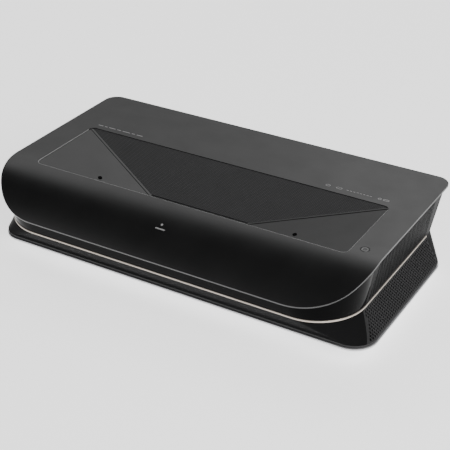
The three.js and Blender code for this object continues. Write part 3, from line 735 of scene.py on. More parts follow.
def wall_loop(outline: Outline) -> list[Vector]:
    """An outline's points, in the number that every wall uses."""
    return outline.loop(FRONT_STEPS, REAR_STEPS, SIDE_STEPS)


def at_height(outline: Outline, z: float) -> list[Vector]:
    """An outline's points at one height."""
    return [Vector((point.x, point.y, z)) for point in wall_loop(outline)]


def under_sheet(outline: Outline, depth: float) -> list[Vector]:
    """An outline's points carried round the bend, a given depth under the cover's outer face."""
    return [SHEET.point(point.x, point.y, depth) for point in wall_loop(outline)]


class Wall(Enum):
    """The two walls of the casing."""

    UPPER = "upper"
    LOWER = "lower"

    def foot(self, inset: float) -> list[Vector]:
        """The wall's lower ring, moved in by a distance."""
        if self is Wall.UPPER:
            return at_height(TRIM.inset(inset), TRIM_TOP + GAP)
        return at_height(BASE.inset(1 + inset), WALL_BOTTOM)

    def head(self, inset: float) -> list[Vector]:
        """The wall's upper ring, moved in by a distance."""
        if self is Wall.UPPER:
            return under_sheet(UNDER_COVER.inset(inset), SHEET.thickness + GAP)
        return at_height(TRIM.inset(inset), TRIM_BOTTOM - GAP)

    def rings(self, inset: float, rows: int) -> list[list[Vector]]:
        """The wall's rings from its foot to its head.

        Args:
            inset: how far they are moved in.
            rows: the rows of faces between them.

        Returns:
            The rings' points.
        """
        foot, head = self.foot(inset), self.head(inset)
        return [[a.lerp(b, row / rows) for a, b in zip(foot, head)] for row in range(rows + 1)]

    def ring(self) -> bmesh.types.BMesh:
        """The whole ring of wall, closed, before it is cut into pieces."""
        bm = bmesh.new()
        bridge_rings(bm, self.rings(0.0, WALL_ROWS) + self.rings(WALL_THICKNESS, WALL_ROWS)[::-1])
        return bm


# ---- The top ------------------------------------------------------------------------------------------


@dataclass
class TopCover:
    """The bent and painted cover sheet, with its recess opening and the power button's hole."""

    edge: float = 0.7
    button_gap: float = 0.3

    def build(self) -> None:
        """Models the sheet flat, with rounded rims, and bends it."""
        bm = bmesh.new()
        button = middle("power_button")
        radius = high("power_button").x - button.x + self.button_gap
        hole = rounded_loop((button.x, button.y), (radius, radius), radius - 0.001, 10)
        outline = COVER.loop(FRONT_STEPS, REAR_STEPS, 1)
        fill_loops(bm, [outline, RECESS.loop(8, 8, 1), hole])
        thicken_down(bm, SHEET.thickness)
        soften(bm, self.edge, 3, 60)
        cut_across(bm, 1, SHEET.bend_places())
        bend_through(bm, lambda co: SHEET.point(co.x, co.y, -co.z))
        finish_piece("top_cover_sheet", bm, COVER_PAINT, "cover", ["top_cover"], sharp=50)


@dataclass
class Recess:
    """The three-faced recess: two painted facets, the woven ramp between them and the light window."""

    edge_step: float = 1.0
    ramp_slope: float = 0.33
    facet_slope: float = 0.175
    ledge_width: float = 3.4
    ledge_rise: float = 0.8
    ledge_run: float = 1.2
    ramp_foot: float = -39.0
    window_half: float = 72.0
    surround: float = 6.0
    surround_thickness: float = 5.0
    surround_rise: float = 0.6
    frame_side: float = 3.0
    frame_end: float = 5.0
    pane_lap: float = 1.5
    pane_thickness: float = 2.0
    pane_sink: float = 1.4
    cloth_rise: float = 0.4
    cloth_thickness: float = 1.6
    cloth_margin: float = 0.7
    cloth_front_gap: float = 0.5
    cloth_rear_gap: float = 0.35
    # Sizes of the thin ring that carries the painted highlight round the recess opening.
    highlight_out: float = 0.4
    highlight_in: float = 0.6
    highlight_thickness: float = 1.6
    highlight_sink: float = 0.1
    wall_top: float = 133.2
    edge_drop: float = 3.0
    tray_wall: float = 1.6
    front_wall_height: float = 16.0

    def ramp_z(self, y: float) -> float:
        """The ramp's height at a distance from front to rear."""
        return SHEET.top - self.edge_step - self.ramp_slope * (RECESS.rear - y)

    def facet_z(self, x: float) -> float:
        """A side facet's height at a distance across."""
        return SHEET.top - self.edge_step - self.facet_slope * (RECESS.half_width - abs(x))

    def crease_normal(self, side: int) -> Vector:
        """The level direction across a crease, pointing towards the ramp.

        Args:
            side: -1 for the left crease and 1 for the right one.

        Returns:
            A unit vector.
        """
        run = self.ramp_slope / self.facet_slope
        return Vector((-side, run, 0.0)).normalized()

    def build(self) -> None:
        """Models every piece of the recess."""
        self.build_facets()
        self.build_front_wall()
        self.build_edge_highlight()
        self.build_cloth()
        self.build_window()
        self.build_sensors()

    def build_facets(self) -> None:
        """The two facets with their raised crease ledges and the rims up to the cover, as one skin."""
        bm = bmesh.new()
        for side in (-1, 1):
            half = bmesh.new()
            self.shape_facet(half, side)
            loaded = bpy.data.meshes.new("facet")
            half.to_mesh(loaded)
            half.free()
            bm.from_mesh(loaded)
            bpy.data.meshes.remove(loaded)
        piece = finish_piece("recess_facets", bm, RECESS_PAINT, "cover", ["recess_tray"], sharp=30)
        skin = piece.modifiers.new("Skin", "SOLIDIFY")
        skin.thickness = self.tray_wall * MM
        skin.offset = -1.0
        piece.modifiers.move(len(piece.modifiers) - 1, 0)

    def build_front_wall(self) -> None:
        """The wall in front of the window surround, up to the cover."""
        half = self.window_half + self.surround + GAP
        bm = bmesh.new()
        fill_loops(bm, [rounded_loop((0.0, 0.0), (half, self.tray_wall / 2), 0.7, 3)])
        thicken_down(bm, self.front_wall_height)
        place = Vector((0.0, RECESS.front + GAP - self.tray_wall / 2, self.wall_top))
        bmesh.ops.translate(bm, vec=place, verts=bm.verts)
        finish_piece("recess_front_wall", bm, RECESS_PAINT, "cover")

    def build_edge_highlight(self) -> None:
        """A thin ring round the sides and the front of the opening, painted light grey as a painted
        highlight along the opening's edge.
        """
        bm = bmesh.new()
        fill_loops(bm, [RECESS.inset(distance).loop(8, 8, 1) for distance in (-self.highlight_out, self.highlight_in)])
        thicken_down(bm, self.highlight_thickness)
        soften(bm, 0.2, 2, 60)
        keep_side(bm, (0.0, RECESS.rear - RECESS.rear_radius, 0.0), (0.0, 1.0, 0.0))
        cut_across(bm, 1, SHEET.bend_places())
        bend_through(bm, lambda co: SHEET.point(co.x, co.y, self.highlight_sink - co.z))
        outward(bm)
        # The ring's light grey is a painted highlight along the opening's edge.
        finish_piece("recess_edge_highlight", bm, EDGE_HIGHLIGHT_PAINT, "cover")

    def shape_facet(self, bm: bmesh.types.BMesh, side: int) -> None:
        """One facet, cut from the opening's outline and let down to its slope.

        Args:
            bm: an empty mesh.
            side: -1 for the left and 1 for the right.
        """
        fill_loops(bm, [RECESS.inset(GAP).loop(8, 8, 1)])
        corner = Vector((side * RECESS.half_width, RECESS.rear, 0.0))
        across = self.crease_normal(side)
        cut(bm, corner, across, drop=True)
        block = self.window_half + self.surround + GAP
        beside = Vector((side * block, 0.0, 0.0))
        cut(bm, beside, (-side, 0.0, 0.0), drop=True)
        offsets = (self.ledge_width, self.ledge_width + self.ledge_run)
        for offset in offsets:
            cut(bm, corner - across * offset, across)
        for vert in bm.verts:
            away = (corner - vert.co).dot(across)
            vert.co.z = self.facet_z(vert.co.x)
            if away < offsets[0] + 0.01:
                vert.co.z += self.ledge_rise
        open_edges = [edge for edge in bm.edges if edge.is_boundary]
        inner = [
            edge for edge in open_edges
            if self.on_line(edge, corner, across) or self.on_line(edge, beside, Vector((1.0, 0.0, 0.0)))
        ]
        rim = [edge for edge in open_edges if edge not in inner]
        self.drop_edges(bm, inner, lambda z: z - self.edge_drop)
        self.drop_edges(bm, rim, lambda z: self.wall_top)
        bmesh.ops.recalc_face_normals(bm, faces=bm.faces)
        largest = max(bm.faces, key=lambda face: face.calc_area())
        if largest.normal.z < 0:
            bmesh.ops.reverse_faces(bm, faces=bm.faces)

    @staticmethod
    def on_line(edge: bmesh.types.BMEdge, point: Vector, across: Vector) -> bool:
        """Whether both ends of an edge lie over a level line through a point."""
        return all(abs((point - vert.co).xy.dot(across.xy)) < 0.01 for vert in edge.verts)

    @staticmethod
    def drop_edges(
        bm: bmesh.types.BMesh, edges: Sequence[bmesh.types.BMEdge], place: Callable[[float], float]
    ) -> None:
        """Draws walls up or down from open edges.

        Args:
            bm: the mesh.
            edges: the open edges.
            place: gives the new height for an old one.
        """
        made = bmesh.ops.extrude_edge_only(bm, edges=edges)
        for item in made["geom"]:
            if isinstance(item, bmesh.types.BMVert):
                item.co.z = place(item.co.z)

    def cloth_half(self, y: float) -> float:
        """Half the cloth's width at a distance from front to rear."""
        run = self.ramp_slope / self.facet_slope
        return RECESS.half_width - run * (RECESS.rear - y)

    def build_cloth(self) -> None:
        """The woven panel that lies between the creases."""
        bm = bmesh.new()
        front, rear = self.ramp_foot + self.cloth_front_gap, RECESS.rear - self.cloth_rear_gap
        corners = []
        for side, y in ((-1, front), (1, front), (1, rear), (-1, rear)):
            corners.append(Vector((side * (self.cloth_half(y) - self.cloth_margin), y, 0.0)))
        fill_loops(bm, [corners])
        thicken_down(bm, self.cloth_thickness)
        soften(bm, 0.4, 2, 60)
        bend_through(bm, lambda co: Vector((co.x, co.y, co.z + self.ramp_z(co.y) + self.cloth_rise)))
        finish_piece("ramp_cloth_panel", bm, RAMP_CLOTH, "mesh", ["ramp_mesh"])

    def window_frame_z(self, y: float) -> float:
        """The window surround's height at a distance from front to rear."""
        glass_low, glass_high = low("light_window"), high("light_window")
        along = (glass_high.y - y) / (glass_high.y - glass_low.y)
        return glass_low.z + 2.0 + along * (glass_high.z - glass_low.z - 2.0)

    def build_window(self) -> None:
        """The sloping surround of the light window and the glass that lies in it."""
        rear, front = self.ramp_foot, RECESS.front + GAP
        centre = (0.0, (front + rear) / 2)
        half = (self.window_half + self.surround, (rear - front) / 2)
        opening = (self.window_half - self.frame_side, half[1] - self.frame_end)
        bm = bmesh.new()
        fill_loops(bm, [rounded_loop(centre, half, 0.8, 2), rounded_loop(centre, opening, 3.0, 5)])
        thicken_down(bm, self.surround_thickness)
        soften(bm, 0.6, 2, 60)
        bend_through(bm, lambda co: Vector((
            co.x, co.y, co.z + self.window_frame_z(co.y) + self.surround_rise)))
        finish_piece("window_surround", bm, RECESS_PAINT, "cover")
        glass = bmesh.new()
        pane = (opening[0] + self.pane_lap, opening[1] + self.pane_lap)
        fill_loops(glass, [rounded_loop(centre, pane, 3.0, 5)])
        thicken_down(glass, self.pane_thickness)
        soften(glass, 0.3, 2, 60)
        bend_through(glass, lambda co: Vector((
            co.x, co.y, co.z + self.window_frame_z(co.y) - self.pane_sink)))
        finish_piece("light_window_pane", glass, WINDOW_GLASS, "window_glass", ["light_window"])

    def build_sensors(self) -> None:
        """The two eye-protection sensors: a dished dark lens in a thin ring, standing in each facet."""
        for side, word in ((-1, "left"), (1, "right")):
            node = f"eye_sensor_{word}"
            centre = middle(node)
            place = Vector((centre.x, centre.y, self.facet_z(centre.x)))
            lean = Matrix.Rotation(-side * math.atan(self.facet_slope), 4, "Y")
            bm = bmesh.new()
            profile = ((0.0, 0.2), (1.5, 0.3), (2.2, 0.9), (2.6, 1.2), (3.0, 0.9), (3.1, -3.0), (0.0, -3.0))
            spin_profile(bm, profile, 28)
            bmesh.ops.transform(bm, matrix=Matrix.Translation(place) @ lean, verts=bm.verts)
            finish_piece(f"eye_sensor_lens_{word}", bm, GLOSS_BLACK, "window_glass", [node])


def spin_profile(bm: bmesh.types.BMesh, profile: Sequence[Sequence[float]], steps: int) -> None:
    """Spins an outline of (radius, height) points about Z into a closed solid.

    Args:
        bm: the mesh.
        profile: the outline, starting and ending on the axis.
        steps: the chords round the turn.
    """
    verts = [bm.verts.new((radius, 0.0, height)) for radius, height in profile]
    edges = [bm.edges.new(pair) for pair in zip(verts, verts[1:])]
    bmesh.ops.spin(
        bm, geom=verts + edges, cent=(0.0, 0.0, 0.0), axis=(0.0, 0.0, 1.0), angle=2 * math.pi,
        steps=steps, use_merge=True)
    outward(bm)


@dataclass
class PowerButton:
    """The round power button, flush with the cover, with a plain printed ring."""

    dish: float = 0.25
    ring_radius: float = 3.9
    ring_width: float = 0.5
    cap_height: float = 4.0
    stem_radius: float = 2.0
    print_thickness: float = 0.3
    print_sink: float = 0.02

    def build(self) -> None:
        """Models the cap and its printed ring."""
        top = high("power_button")
        centre = middle("power_button")
        radius = top.x - centre.x
        stem_end = low("power_button").z - top.z
        bm = bmesh.new()
        profile = (
            (0.0, -self.dish), (radius * 0.5, -self.dish * 0.8), (radius - 0.9, -0.05), (radius - 0.4, 0.0),
            (radius, -0.4), (radius, -self.cap_height), (self.stem_radius, -self.cap_height),
            (self.stem_radius, stem_end), (0.0, stem_end),
        )
        spin_profile(bm, profile, 40)
        bmesh.ops.translate(bm, vec=(centre.x, centre.y, top.z), verts=bm.verts)
        finish_piece("power_button_cap", bm, COVER_PAINT, "cover", ["power_button"], body="power_button")
        ring = bmesh.new()
        outer = self.ring_radius + self.ring_width / 2
        inner = self.ring_radius - self.ring_width / 2
        fill_loops(ring, [
            rounded_loop((centre.x, centre.y), (outer, outer), outer - 0.001, 8),
            rounded_loop((centre.x, centre.y), (inner, inner), inner - 0.001, 8),
        ])
        thicken_down(ring, self.print_thickness)
        bmesh.ops.translate(ring, vec=(0.0, 0.0, top.z - self.print_sink), verts=ring.verts)
        finish_piece("power_button_print", ring, PRINT_GREY, "cover", body="power_button")


@dataclass(frozen=True)
class Mark:
    """One small plain printed shape on the cover."""

    x: float
    y: float
    width: float
    height: float
    line: float = 0.0

    def loops(self) -> list[list[Vector]]:
        """The shape's outline, and its hole where it is drawn as a line."""
        half = (self.width / 2, self.height / 2)
        radius = min(half) * 0.9
        found = [rounded_loop((self.x, self.y), half, radius, 4)]
        if self.line:
            inner = (half[0] - self.line, half[1] - self.line)
            found.append(rounded_loop((self.x, self.y), inner, radius - self.line, 4))
        return found


@dataclass
class PrintedMarks:
    """Plain bars and rings where the cover carries its small print; none of them is a letter or a sign."""

    left_start: float = -244.0
    left_y: float = 62.0
    left_bars: tuple[float, ...] = (9.0, 5.0, 12.0, 7.0, 14.0, 6.0, 11.0)
    right_y: float = 64.5
    right_bar_start: float = 178.0
    right_bars: int = 8
    front_y: float = -131.0
    front_x: float = -6.0

    def marks(self) -> list[Mark]:
        """Every mark, from left to right."""
        found = []
        x = self.left_start
        for width in self.left_bars:
            found.append(Mark(x + width / 2, self.left_y, width, 1.6))
            x += width + 3.0
        found.append(Mark(148.0, self.right_y, 7.0, 5.0, 0.9))
        found.append(Mark(165.0, self.right_y, 9.0, 5.0, 0.8))
        for i in range(self.right_bars):
            found.append(Mark(self.right_bar_start + 5.0 * i, self.right_y, 3.4, 1.2))
        found.append(Mark(226.0, self.right_y, 5.0, 5.0, 1.0))
        found.append(Mark(235.5, self.right_y, 9.0, 4.6, 1.1))
        found.append(Mark(self.front_x, self.front_y + 5.0, 3.4, 3.4))
        found.append(Mark(self.front_x, self.front_y - 1.5, 15.0, 1.8))
        return found

    def build(self) -> None:
        """Models the marks as one thin print that lies on the bent sheet."""
        bm = bmesh.new()
        for mark in self.marks():
            fill_loops(bm, mark.loops())
        thicken_down(bm, 2 * PRINT_DEPTH)
        bmesh.ops.translate(bm, vec=(0.0, 0.0, PRINT_DEPTH), verts=bm.verts)
        bend_through(bm, lambda co: SHEET.point(co.x, co.y, -co.z))
        outward(bm)
        finish_piece("cover_marks", bm, PRINT_GREY, "cover")


# ---- Walls --------------------------------------------------------------------------------------------


@dataclass
class Fascias:
    """The glossy front walls: the upper one under the cover's edge and the lower one over the base."""

    edge: float = 0.5
    slant_top: float = -90.0
    slant_bottom: float = -109.0

    def slant(self) -> tuple[Vector, Vector]:
        """The plane where the lower fascia meets the side grilles, and the normal that points back."""
        rise = TRIM_BOTTOM - WALL_BOTTOM
        normal = Vector((0.0, rise, self.slant_bottom - self.slant_top)).normalized()
        return Vector((0.0, self.slant_bottom, WALL_BOTTOM)), normal

    def build(self) -> None:
        """Models both fascias."""
        upper = Wall.UPPER.ring()
        keep_side(upper, (0.0, UPPER_SPLIT, 0.0), (0.0, 1.0, 0.0))
        soften(upper, self.edge)
        finish_piece("upper_fascia_shell", upper, GLOSS_BLACK, "gloss_black", ["upper_fascia"])
        lower = Wall.LOWER.ring()
        point, normal = self.slant()
        keep_side(lower, point, normal)
        soften(lower, self.edge)
        finish_piece("lower_fascia_shell", lower, LOWER_GLOSS, "gloss_black", ["lower_fascia"])


@dataclass
class Grille:
    """One perforated side wall.

    The panel is drawn flat, with X along the object and Y up the wall, perforated there, and laid on the
    wall. Its holes stand in staggered rows: each is in the middle of a square cell of a grid that is turned
    by 45 degrees and then stretched upwards.
    """

    wall: Wall
    side: int
    pitch: float = 5.0
    row_gap: float = 3.6
    radius: float = 1.4
    thickness: float = 1.2
    margin: float = 2.6
    front_plain: float = 4.0
    front_lean: float = 0.0
    bend_step: float = 3.0
    bend_cuts: int = 11

    @property
    def name(self) -> str:
        """The frame node that this panel stands for."""
        return f"{self.wall.value}_grille_{'left' if self.side < 0 else 'right'}"

    @property
    def foot(self) -> float:
        """The panel's lower edge."""
        return low(self.name).z

    @property
    def head(self) -> float:
        """The panel's upper edge."""
        return high(self.name).z

    @property
    def cell(self) -> float:
        """The side of a cell before the grid is stretched."""
        return self.pitch / math.sqrt(2)

    @property
    def stretch(self) -> float:
        """How much the grid is stretched upwards."""
        return self.row_gap / (self.pitch / 2)

    def corners(self) -> list[Vector]:
        """The flat panel's corners, anticlockwise from the front foot."""
        rear = high(self.name).y
        front_foot = front_head = low(self.name).y
        if self.wall is Wall.LOWER:
            fascia = Fascias()
            front_foot, front_head = fascia.slant_bottom + GAP, fascia.slant_top + GAP
        return [
            Vector((front_foot, self.foot, 0.0)), Vector((rear, self.foot, 0.0)),
            Vector((rear, self.head, 0.0)), Vector((front_head, self.head, 0.0)),
        ]

    def lay(self, co: Vector) -> Vector:
        """Where a point of the flat panel lies on the wall.

        Args:
            co: along the object, up the wall and out of it.

        Returns:
            The place in the object.
        """
        share = (co.y - self.foot) / (self.head - self.foot)
        if self.wall is Wall.UPPER:
            foot_x, head_x = TRIM.half_at(co.x), UNDER_COVER.half_width
        else:
            foot_x, head_x = BASE.inset(1).half_at(co.x), TRIM.half_at(co.x)
        lean = math.atan2(head_x - foot_x, self.head - self.foot)
        x = foot_x + (head_x - foot_x) * share + co.z * math.cos(lean)
        return Vector((self.side * x, co.x, co.y - co.z * math.sin(lean)))

    def clearance(self, point: Vector, margins: Sequence[float]) -> float:
        """How far a point lies inside the panel's edges, with a margin taken off for each edge.

        Args:
            point: a point of the flat panel.
            margins: the margins of the foot, the rear, the head and the front.

        Returns:
            The smallest of the four distances.
        """
        corners = self.corners()
        inside = []
        for start, end, margin in zip(corners, corners[1:] + corners[:1], margins):
            inside.append((end - start).normalized().cross(point - start).z - margin)
        return min(inside)

    def holds(self, point: Vector) -> bool:
        """Whether a hole may stand at a point: clear of the border and behind the plain front."""
        rise = (point.y - self.foot) / (self.head - self.foot)
        behind = point.x > self.corners()[0].x + self.front_plain + self.front_lean * rise
        margins = (self.margin, self.margin, self.margin, self.front_plain)
        return behind and self.clearance(point, margins) > 0

    def hole_middle(self, co: Vector) -> Vector:
        """The middle of the cell that holds a point of the unstretched grid."""
        turn = Matrix.Rotation(math.pi / 4, 3, "Z")
        local = turn.transposed() @ co / self.cell
        return turn @ Vector((math.floor(local.x) + 0.5, math.floor(local.y) + 0.5, 0.0)) * self.cell

    def perforate(self, bm: bmesh.types.BMesh) -> None:
        """Lays the turned grid over the panel, with a round hole in each cell that may hold one.

        Args:
            bm: an empty mesh.
        """
        corners = self.corners()
        centre = sum(corners, Vector()) / 4
        reach = corners[1].x - min(corners[0].x, corners[3].x) + 8 * self.pitch
        count = math.ceil(reach / self.pitch) * 2
        bmesh.ops.create_grid(bm, x_segments=count, y_segments=count, size=count * self.cell / 2)
        bmesh.ops.rotate(bm, matrix=Matrix.Rotation(math.pi / 4, 3, "Z"), verts=bm.verts)

        def stretched(co: Vector) -> Vector:
            """Where a point of the grid comes to lie on the flat panel."""
            return Vector((co.x, co.y * self.stretch, 0.0)) + centre

        far = [
            face for face in bm.faces
            if self.clearance(stretched(face.calc_center_median()), (0.0,) * 4) < -2 * self.row_gap
        ]
        bmesh.ops.delete(bm, geom=far, context="FACES")
        cells = [face for face in bm.faces if self.holds(stretched(face.calc_center_median()))]
        bmesh.ops.inset_individual(bm, faces=cells, thickness=self.cell * 0.2)
        rims = list({edge for face in cells for edge in face.edges})
        bmesh.ops.delete(bm, geom=cells, context="FACES_ONLY")
        bmesh.ops.subdivide_edges(bm, edges=rims, cuts=1)
        holed = {vert for edge in bm.edges if edge.is_boundary for vert in edge.verts}
        for vert in holed:
            centre_of_hole = self.hole_middle(vert.co)
            away = vert.co - centre_of_hole
            if away.length < self.cell / 2:
                away.normalize()
                away.y /= self.stretch
                vert.co = centre_of_hole + away * self.radius
        for vert in bm.verts:
            vert.co = stretched(vert.co)

    def build(self) -> None:
        """Models the panel: the perforated sheet, trimmed to its outline, with its thickness."""
        bm = bmesh.new()
        self.perforate(bm)
        corners = self.corners()
        for start, end in zip(corners, corners[1:] + corners[:1]):
            cut(bm, start, (end - start).cross(Vector((0.0, 0.0, 1.0))).normalized(), drop=True)
        thicken_down(bm, self.thickness)
        front = min(corner.x for corner in corners)
        cut_across(bm, 0, [front + self.bend_step * i for i in range(1, self.bend_cuts + 1)])
        bend_through(bm, self.lay)
        outward(bm)
        finish = UPPER_GRILLE if self.wall is Wall.UPPER else LOWER_GRILLE
        finish_piece(f"{self.name}_panel", bm, finish, "grille", [self.name])


@dataclass
class TrimStrip:
    """The champagne metal strip between the two walls, with rounded faces."""

    proud: float = 0.8
    round_over: float = 0.7

    def build(self) -> None:
        """Models the strip as a rounded section carried round the trim line."""
        bm = bmesh.new()
        section = []
        centres = (
            (-self.proud + self.round_over, TRIM_BOTTOM + self.round_over, 180),
            (-self.proud + self.round_over, TRIM_TOP - self.round_over, 90),
        )
        for offset, z, start in centres:
            for i in range(4):
                angle = math.radians(start + 90 - 30 * i)
                section.append((
                    offset + self.round_over * math.cos(angle), z + self.round_over * math.sin(angle)))
        section += [(WALL_THICKNESS, TRIM_TOP), (WALL_THICKNESS, TRIM_BOTTOM)]
        bridge_rings(bm, [at_height(TRIM.inset(offset), z) for offset, z in section])
        keep_side(bm, (0.0, REAR_SPLIT - GAP, 0.0), (0.0, 1.0, 0.0))
        finish_piece("trim_strip_metal", bm, CHAMPAGNE, "trim_metal", ["trim_strip"])


@dataclass
class RearShell:
    """The rear moulding: both walls and the band between them, with a wide window for the port plate."""

    rows: int = 5
    edge: float = 0.6
    window_half: float = 196.0
    window_bottom: float = 42.0
    window_top: float = 104.0

    def rings(self, inset: float) -> list[list[Vector]]:
        """The moulding's rings from the base up to the cover, moved in by a distance."""
        return Wall.LOWER.rings(inset, self.rows) + Wall.UPPER.rings(inset, self.rows)

    def build(self) -> None:
        """Models the shell and opens its window."""
        bm = bmesh.new()
        bridge_rings(bm, self.rings(0.0) + self.rings(WALL_THICKNESS)[::-1])
        keep_side(bm, (0.0, REAR_SPLIT, 0.0), (0.0, -1.0, 0.0))
        cut_across(bm, 0, (-self.window_half, self.window_half))
        cut_across(bm, 2, (self.window_bottom, self.window_top))
        inside = [face for face in bm.faces if self.in_window(face)]
        bmesh.ops.delete(bm, geom=inside, context="FACES")
        rims = [edge for edge in bm.edges if edge.is_boundary]
        bmesh.ops.bridge_loops(bm, edges=rims)
        outward(bm)
        soften(bm, self.edge, 3, 50)
        finish_piece("rear_shell_moulding", bm, REAR_PLASTIC, "rear_plastic", ["rear_shell"])

    def in_window(self, face: bmesh.types.BMFace) -> bool:
        """Whether a face lies in the port window's stretch of the rear wall."""
        middle_of_face = face.calc_center_median()
        across = abs(middle_of_face.x) < self.window_half
        return across and middle_of_face.y > REAR_SPLIT + 5 and (
            self.window_bottom < middle_of_face.z < self.window_top)


@dataclass(frozen=True)
class Socket:
    """One rear socket: a body with a rounded mouth, and the contacts inside it."""

    name: str
    finish: Finish
    slot: str
    lip: float
    inside: float
    contacts: tuple[tuple[float, float, float, float], ...]
    corner: float = 1.0
    contact_finish: Finish = INNER_PLASTIC
    back: float = 2.0

    def ring(self, half: tuple[float, float], radius: float, y: float) -> list[Vector]:
        """An upright rounded rectangle round the socket's middle."""
        centre = middle(self.name)
        level = rounded_loop((centre.x, centre.z), half, radius, 4)
        return [Vector((point.x, y, point.y)) for point in level]

    def build(self) -> None:
        """Models the body with its mouth, and then the contacts."""
        bottom, top = low(self.name), high(self.name)
        half = ((top.x - bottom.x) / 2, (top.z - bottom.z) / 2)
        mouth = (half[0] - self.lip, half[1] - self.lip)
        face, floor = top.y, top.y - self.inside
        radius = min(self.corner, min(mouth) * 0.95)
        bm = bmesh.new()
        bridge_rings(bm, [
            self.ring(half, 0.5, bottom.y),
            self.ring(half, 0.5, face - 0.2),
            self.ring((half[0] - 0.2, half[1] - 0.2), 0.4, face),
            self.ring((mouth[0] + 0.3, mouth[1] + 0.3), radius + 0.3, face),
            self.ring(mouth, radius, face - 0.4),
            self.ring(mouth, radius, floor),
        ], closed=False)
        finish_piece(f"{self.name}_body", bm, self.finish, self.slot, [self.name])
        contacts = bmesh.new()
        centre = middle(self.name)
        for across, up, *size in self.contacts:
            place = (centre.x + across, centre.z + up)
            fill_loops(contacts, [rounded_loop(place, size, min(size) * 0.4, 2)])
        thicken_down(contacts, self.inside - self.back + 0.5)
        bend_through(contacts, lambda co: Vector((co.x, face - self.back + co.z, co.y)))
        outward(contacts)
        finish_piece(f"{self.name}_contacts", contacts, self.contact_finish, self.slot)


@dataclass
class PortPlate:
    """The recessed plate with the vents over the sockets, and the sockets in it."""

    border: float = 6.0
    slot_pitch: float = 12.0
    slot_width: float = 5.0
    slot_first: float = -180.0
    slot_last: float = 176.0
    slot_bottom: float = 82.0
    slot_top: float = 100.0

    def sockets(self) -> list[Socket]:
        """Every socket, from left to right."""
        blades = ((-6.0, -1.0, 0.9, 3.0), (0.0, 2.0, 0.9, 3.0), (6.0, -1.0, 0.9, 3.0))
        pins = tuple((-3.5 + i, 3.6, 0.25, 1.1) for i in range(8))
        usb = ((0.0, 1.0, 5.6, 0.9),)
        tongue = ((0.0, 0.3, 5.4, 0.7),)
        found = [
            Socket(
                "power_inlet", INNER_PLASTIC, "inner_plastic", 3.0, 16.0, blades, 3.0, SOCKET_STEEL, 5.0),
            Socket("optical_socket", SOCKET_STEEL, "socket_metal", 2.0, 9.0, ((0.0, 0.0, 1.4, 1.4),)),
            Socket("audio_socket", SOCKET_STEEL, "socket_metal", 3.2, 8.0, ((0.0, 2.0, 0.6, 0.5),), 2.7),
            Socket("network_socket", SOCKET_STEEL, "socket_metal", 1.8, 13.0, pins, 0.5, TURNED_BRASS),
        ]
        for i in (1, 2):
            found.append(Socket(f"usb_socket_{i}", SOCKET_STEEL, "socket_metal", 1.0, 12.0, usb, 0.6))
        for i in (1, 2, 3):
            found.append(Socket(f"hdmi_socket_{i}", SOCKET_STEEL, "socket_metal", 1.1, 10.0, tongue, 1.4))
        return found

    def build(self) -> None:
        """Models the plate and every socket."""
        sockets = self.sockets()
        bottom, top = low("port_plate"), high("port_plate")
        centre = middle("port_plate")
        half = ((top.x - bottom.x) / 2, (top.z - bottom.z) / 2)
        loops = [rounded_loop((centre.x, centre.z), half, 2.0, 4)]
        for socket in sockets:
            place = middle(socket.name)
            size = (high(socket.name) - low(socket.name)) / 2
            loops.append(rounded_loop((place.x, place.z), (size.x + GAP, size.z + GAP), 0.8, 2))
        count = round((self.slot_last - self.slot_first) / self.slot_pitch)
        for i in range(count + 1):
            x = self.slot_first + i * self.slot_pitch + self.slot_width / 2
            place = (x, (self.slot_bottom + self.slot_top) / 2)
            size = (self.slot_width / 2, (self.slot_top - self.slot_bottom) / 2)
            loops.append(rounded_loop(place, size, self.slot_width / 2 - 0.1, 4))
        bm = bmesh.new()
        fill_loops(bm, loops)
        thicken_down(bm, top.y - bottom.y)
        soften(bm, 0.3, 2, 60)
        bend_through(bm, lambda co: Vector((co.x, top.y + co.z, co.y)))
        outward(bm)
        finish_piece("port_plate_sheet", bm, REAR_PLASTIC, "rear_plastic", ["port_plate"])
        for socket in sockets:
            socket.build()


FEET = ("front_left", "front_right", "rear_left", "rear_right")


@dataclass(frozen=True)
class BaseLayer:
    """One level layer of the base, with a hole over each foot's stud."""

    name: str
    node: str
    outline: Outline
    top: float
    edge: float
    finish: Finish
    slot: str
    stud_clearance: float = 4.6

    def build(self) -> None:
        """Models the layer from its outline."""
        half = (self.stud_clearance, self.stud_clearance)
        loops = [self.outline.loop(FRONT_STEPS // 2, REAR_STEPS, 1)]
        for corner in FEET:
            foot = middle(f"foot_screw_{corner}")
            loops.append(rounded_loop((foot.x, foot.y), half, self.stud_clearance - 0.001, 5))
        bm = bmesh.new()
        fill_loops(bm, loops)
        thicken_down(bm, self.top - low(self.node).z)
        soften(bm, self.edge, 3, 60)
        bmesh.ops.translate(bm, vec=(0.0, 0.0, self.top), verts=bm.verts)
        finish_piece(self.name, bm, self.finish, self.slot, [self.node], sharp=50)


BASE_LAYERS = (
    BaseLayer(
        "base_plate_sheet", "base_plate", BASE, high("base_plate").z, 0.6, PLATE_STEEL, "base_steel"),
    BaseLayer(
        "base_tray_pan", "base_tray", BASE.inset(2.2), WALL_BOTTOM - GAP, 0.4, INNER_PLASTIC,
        "inner_plastic"),
)


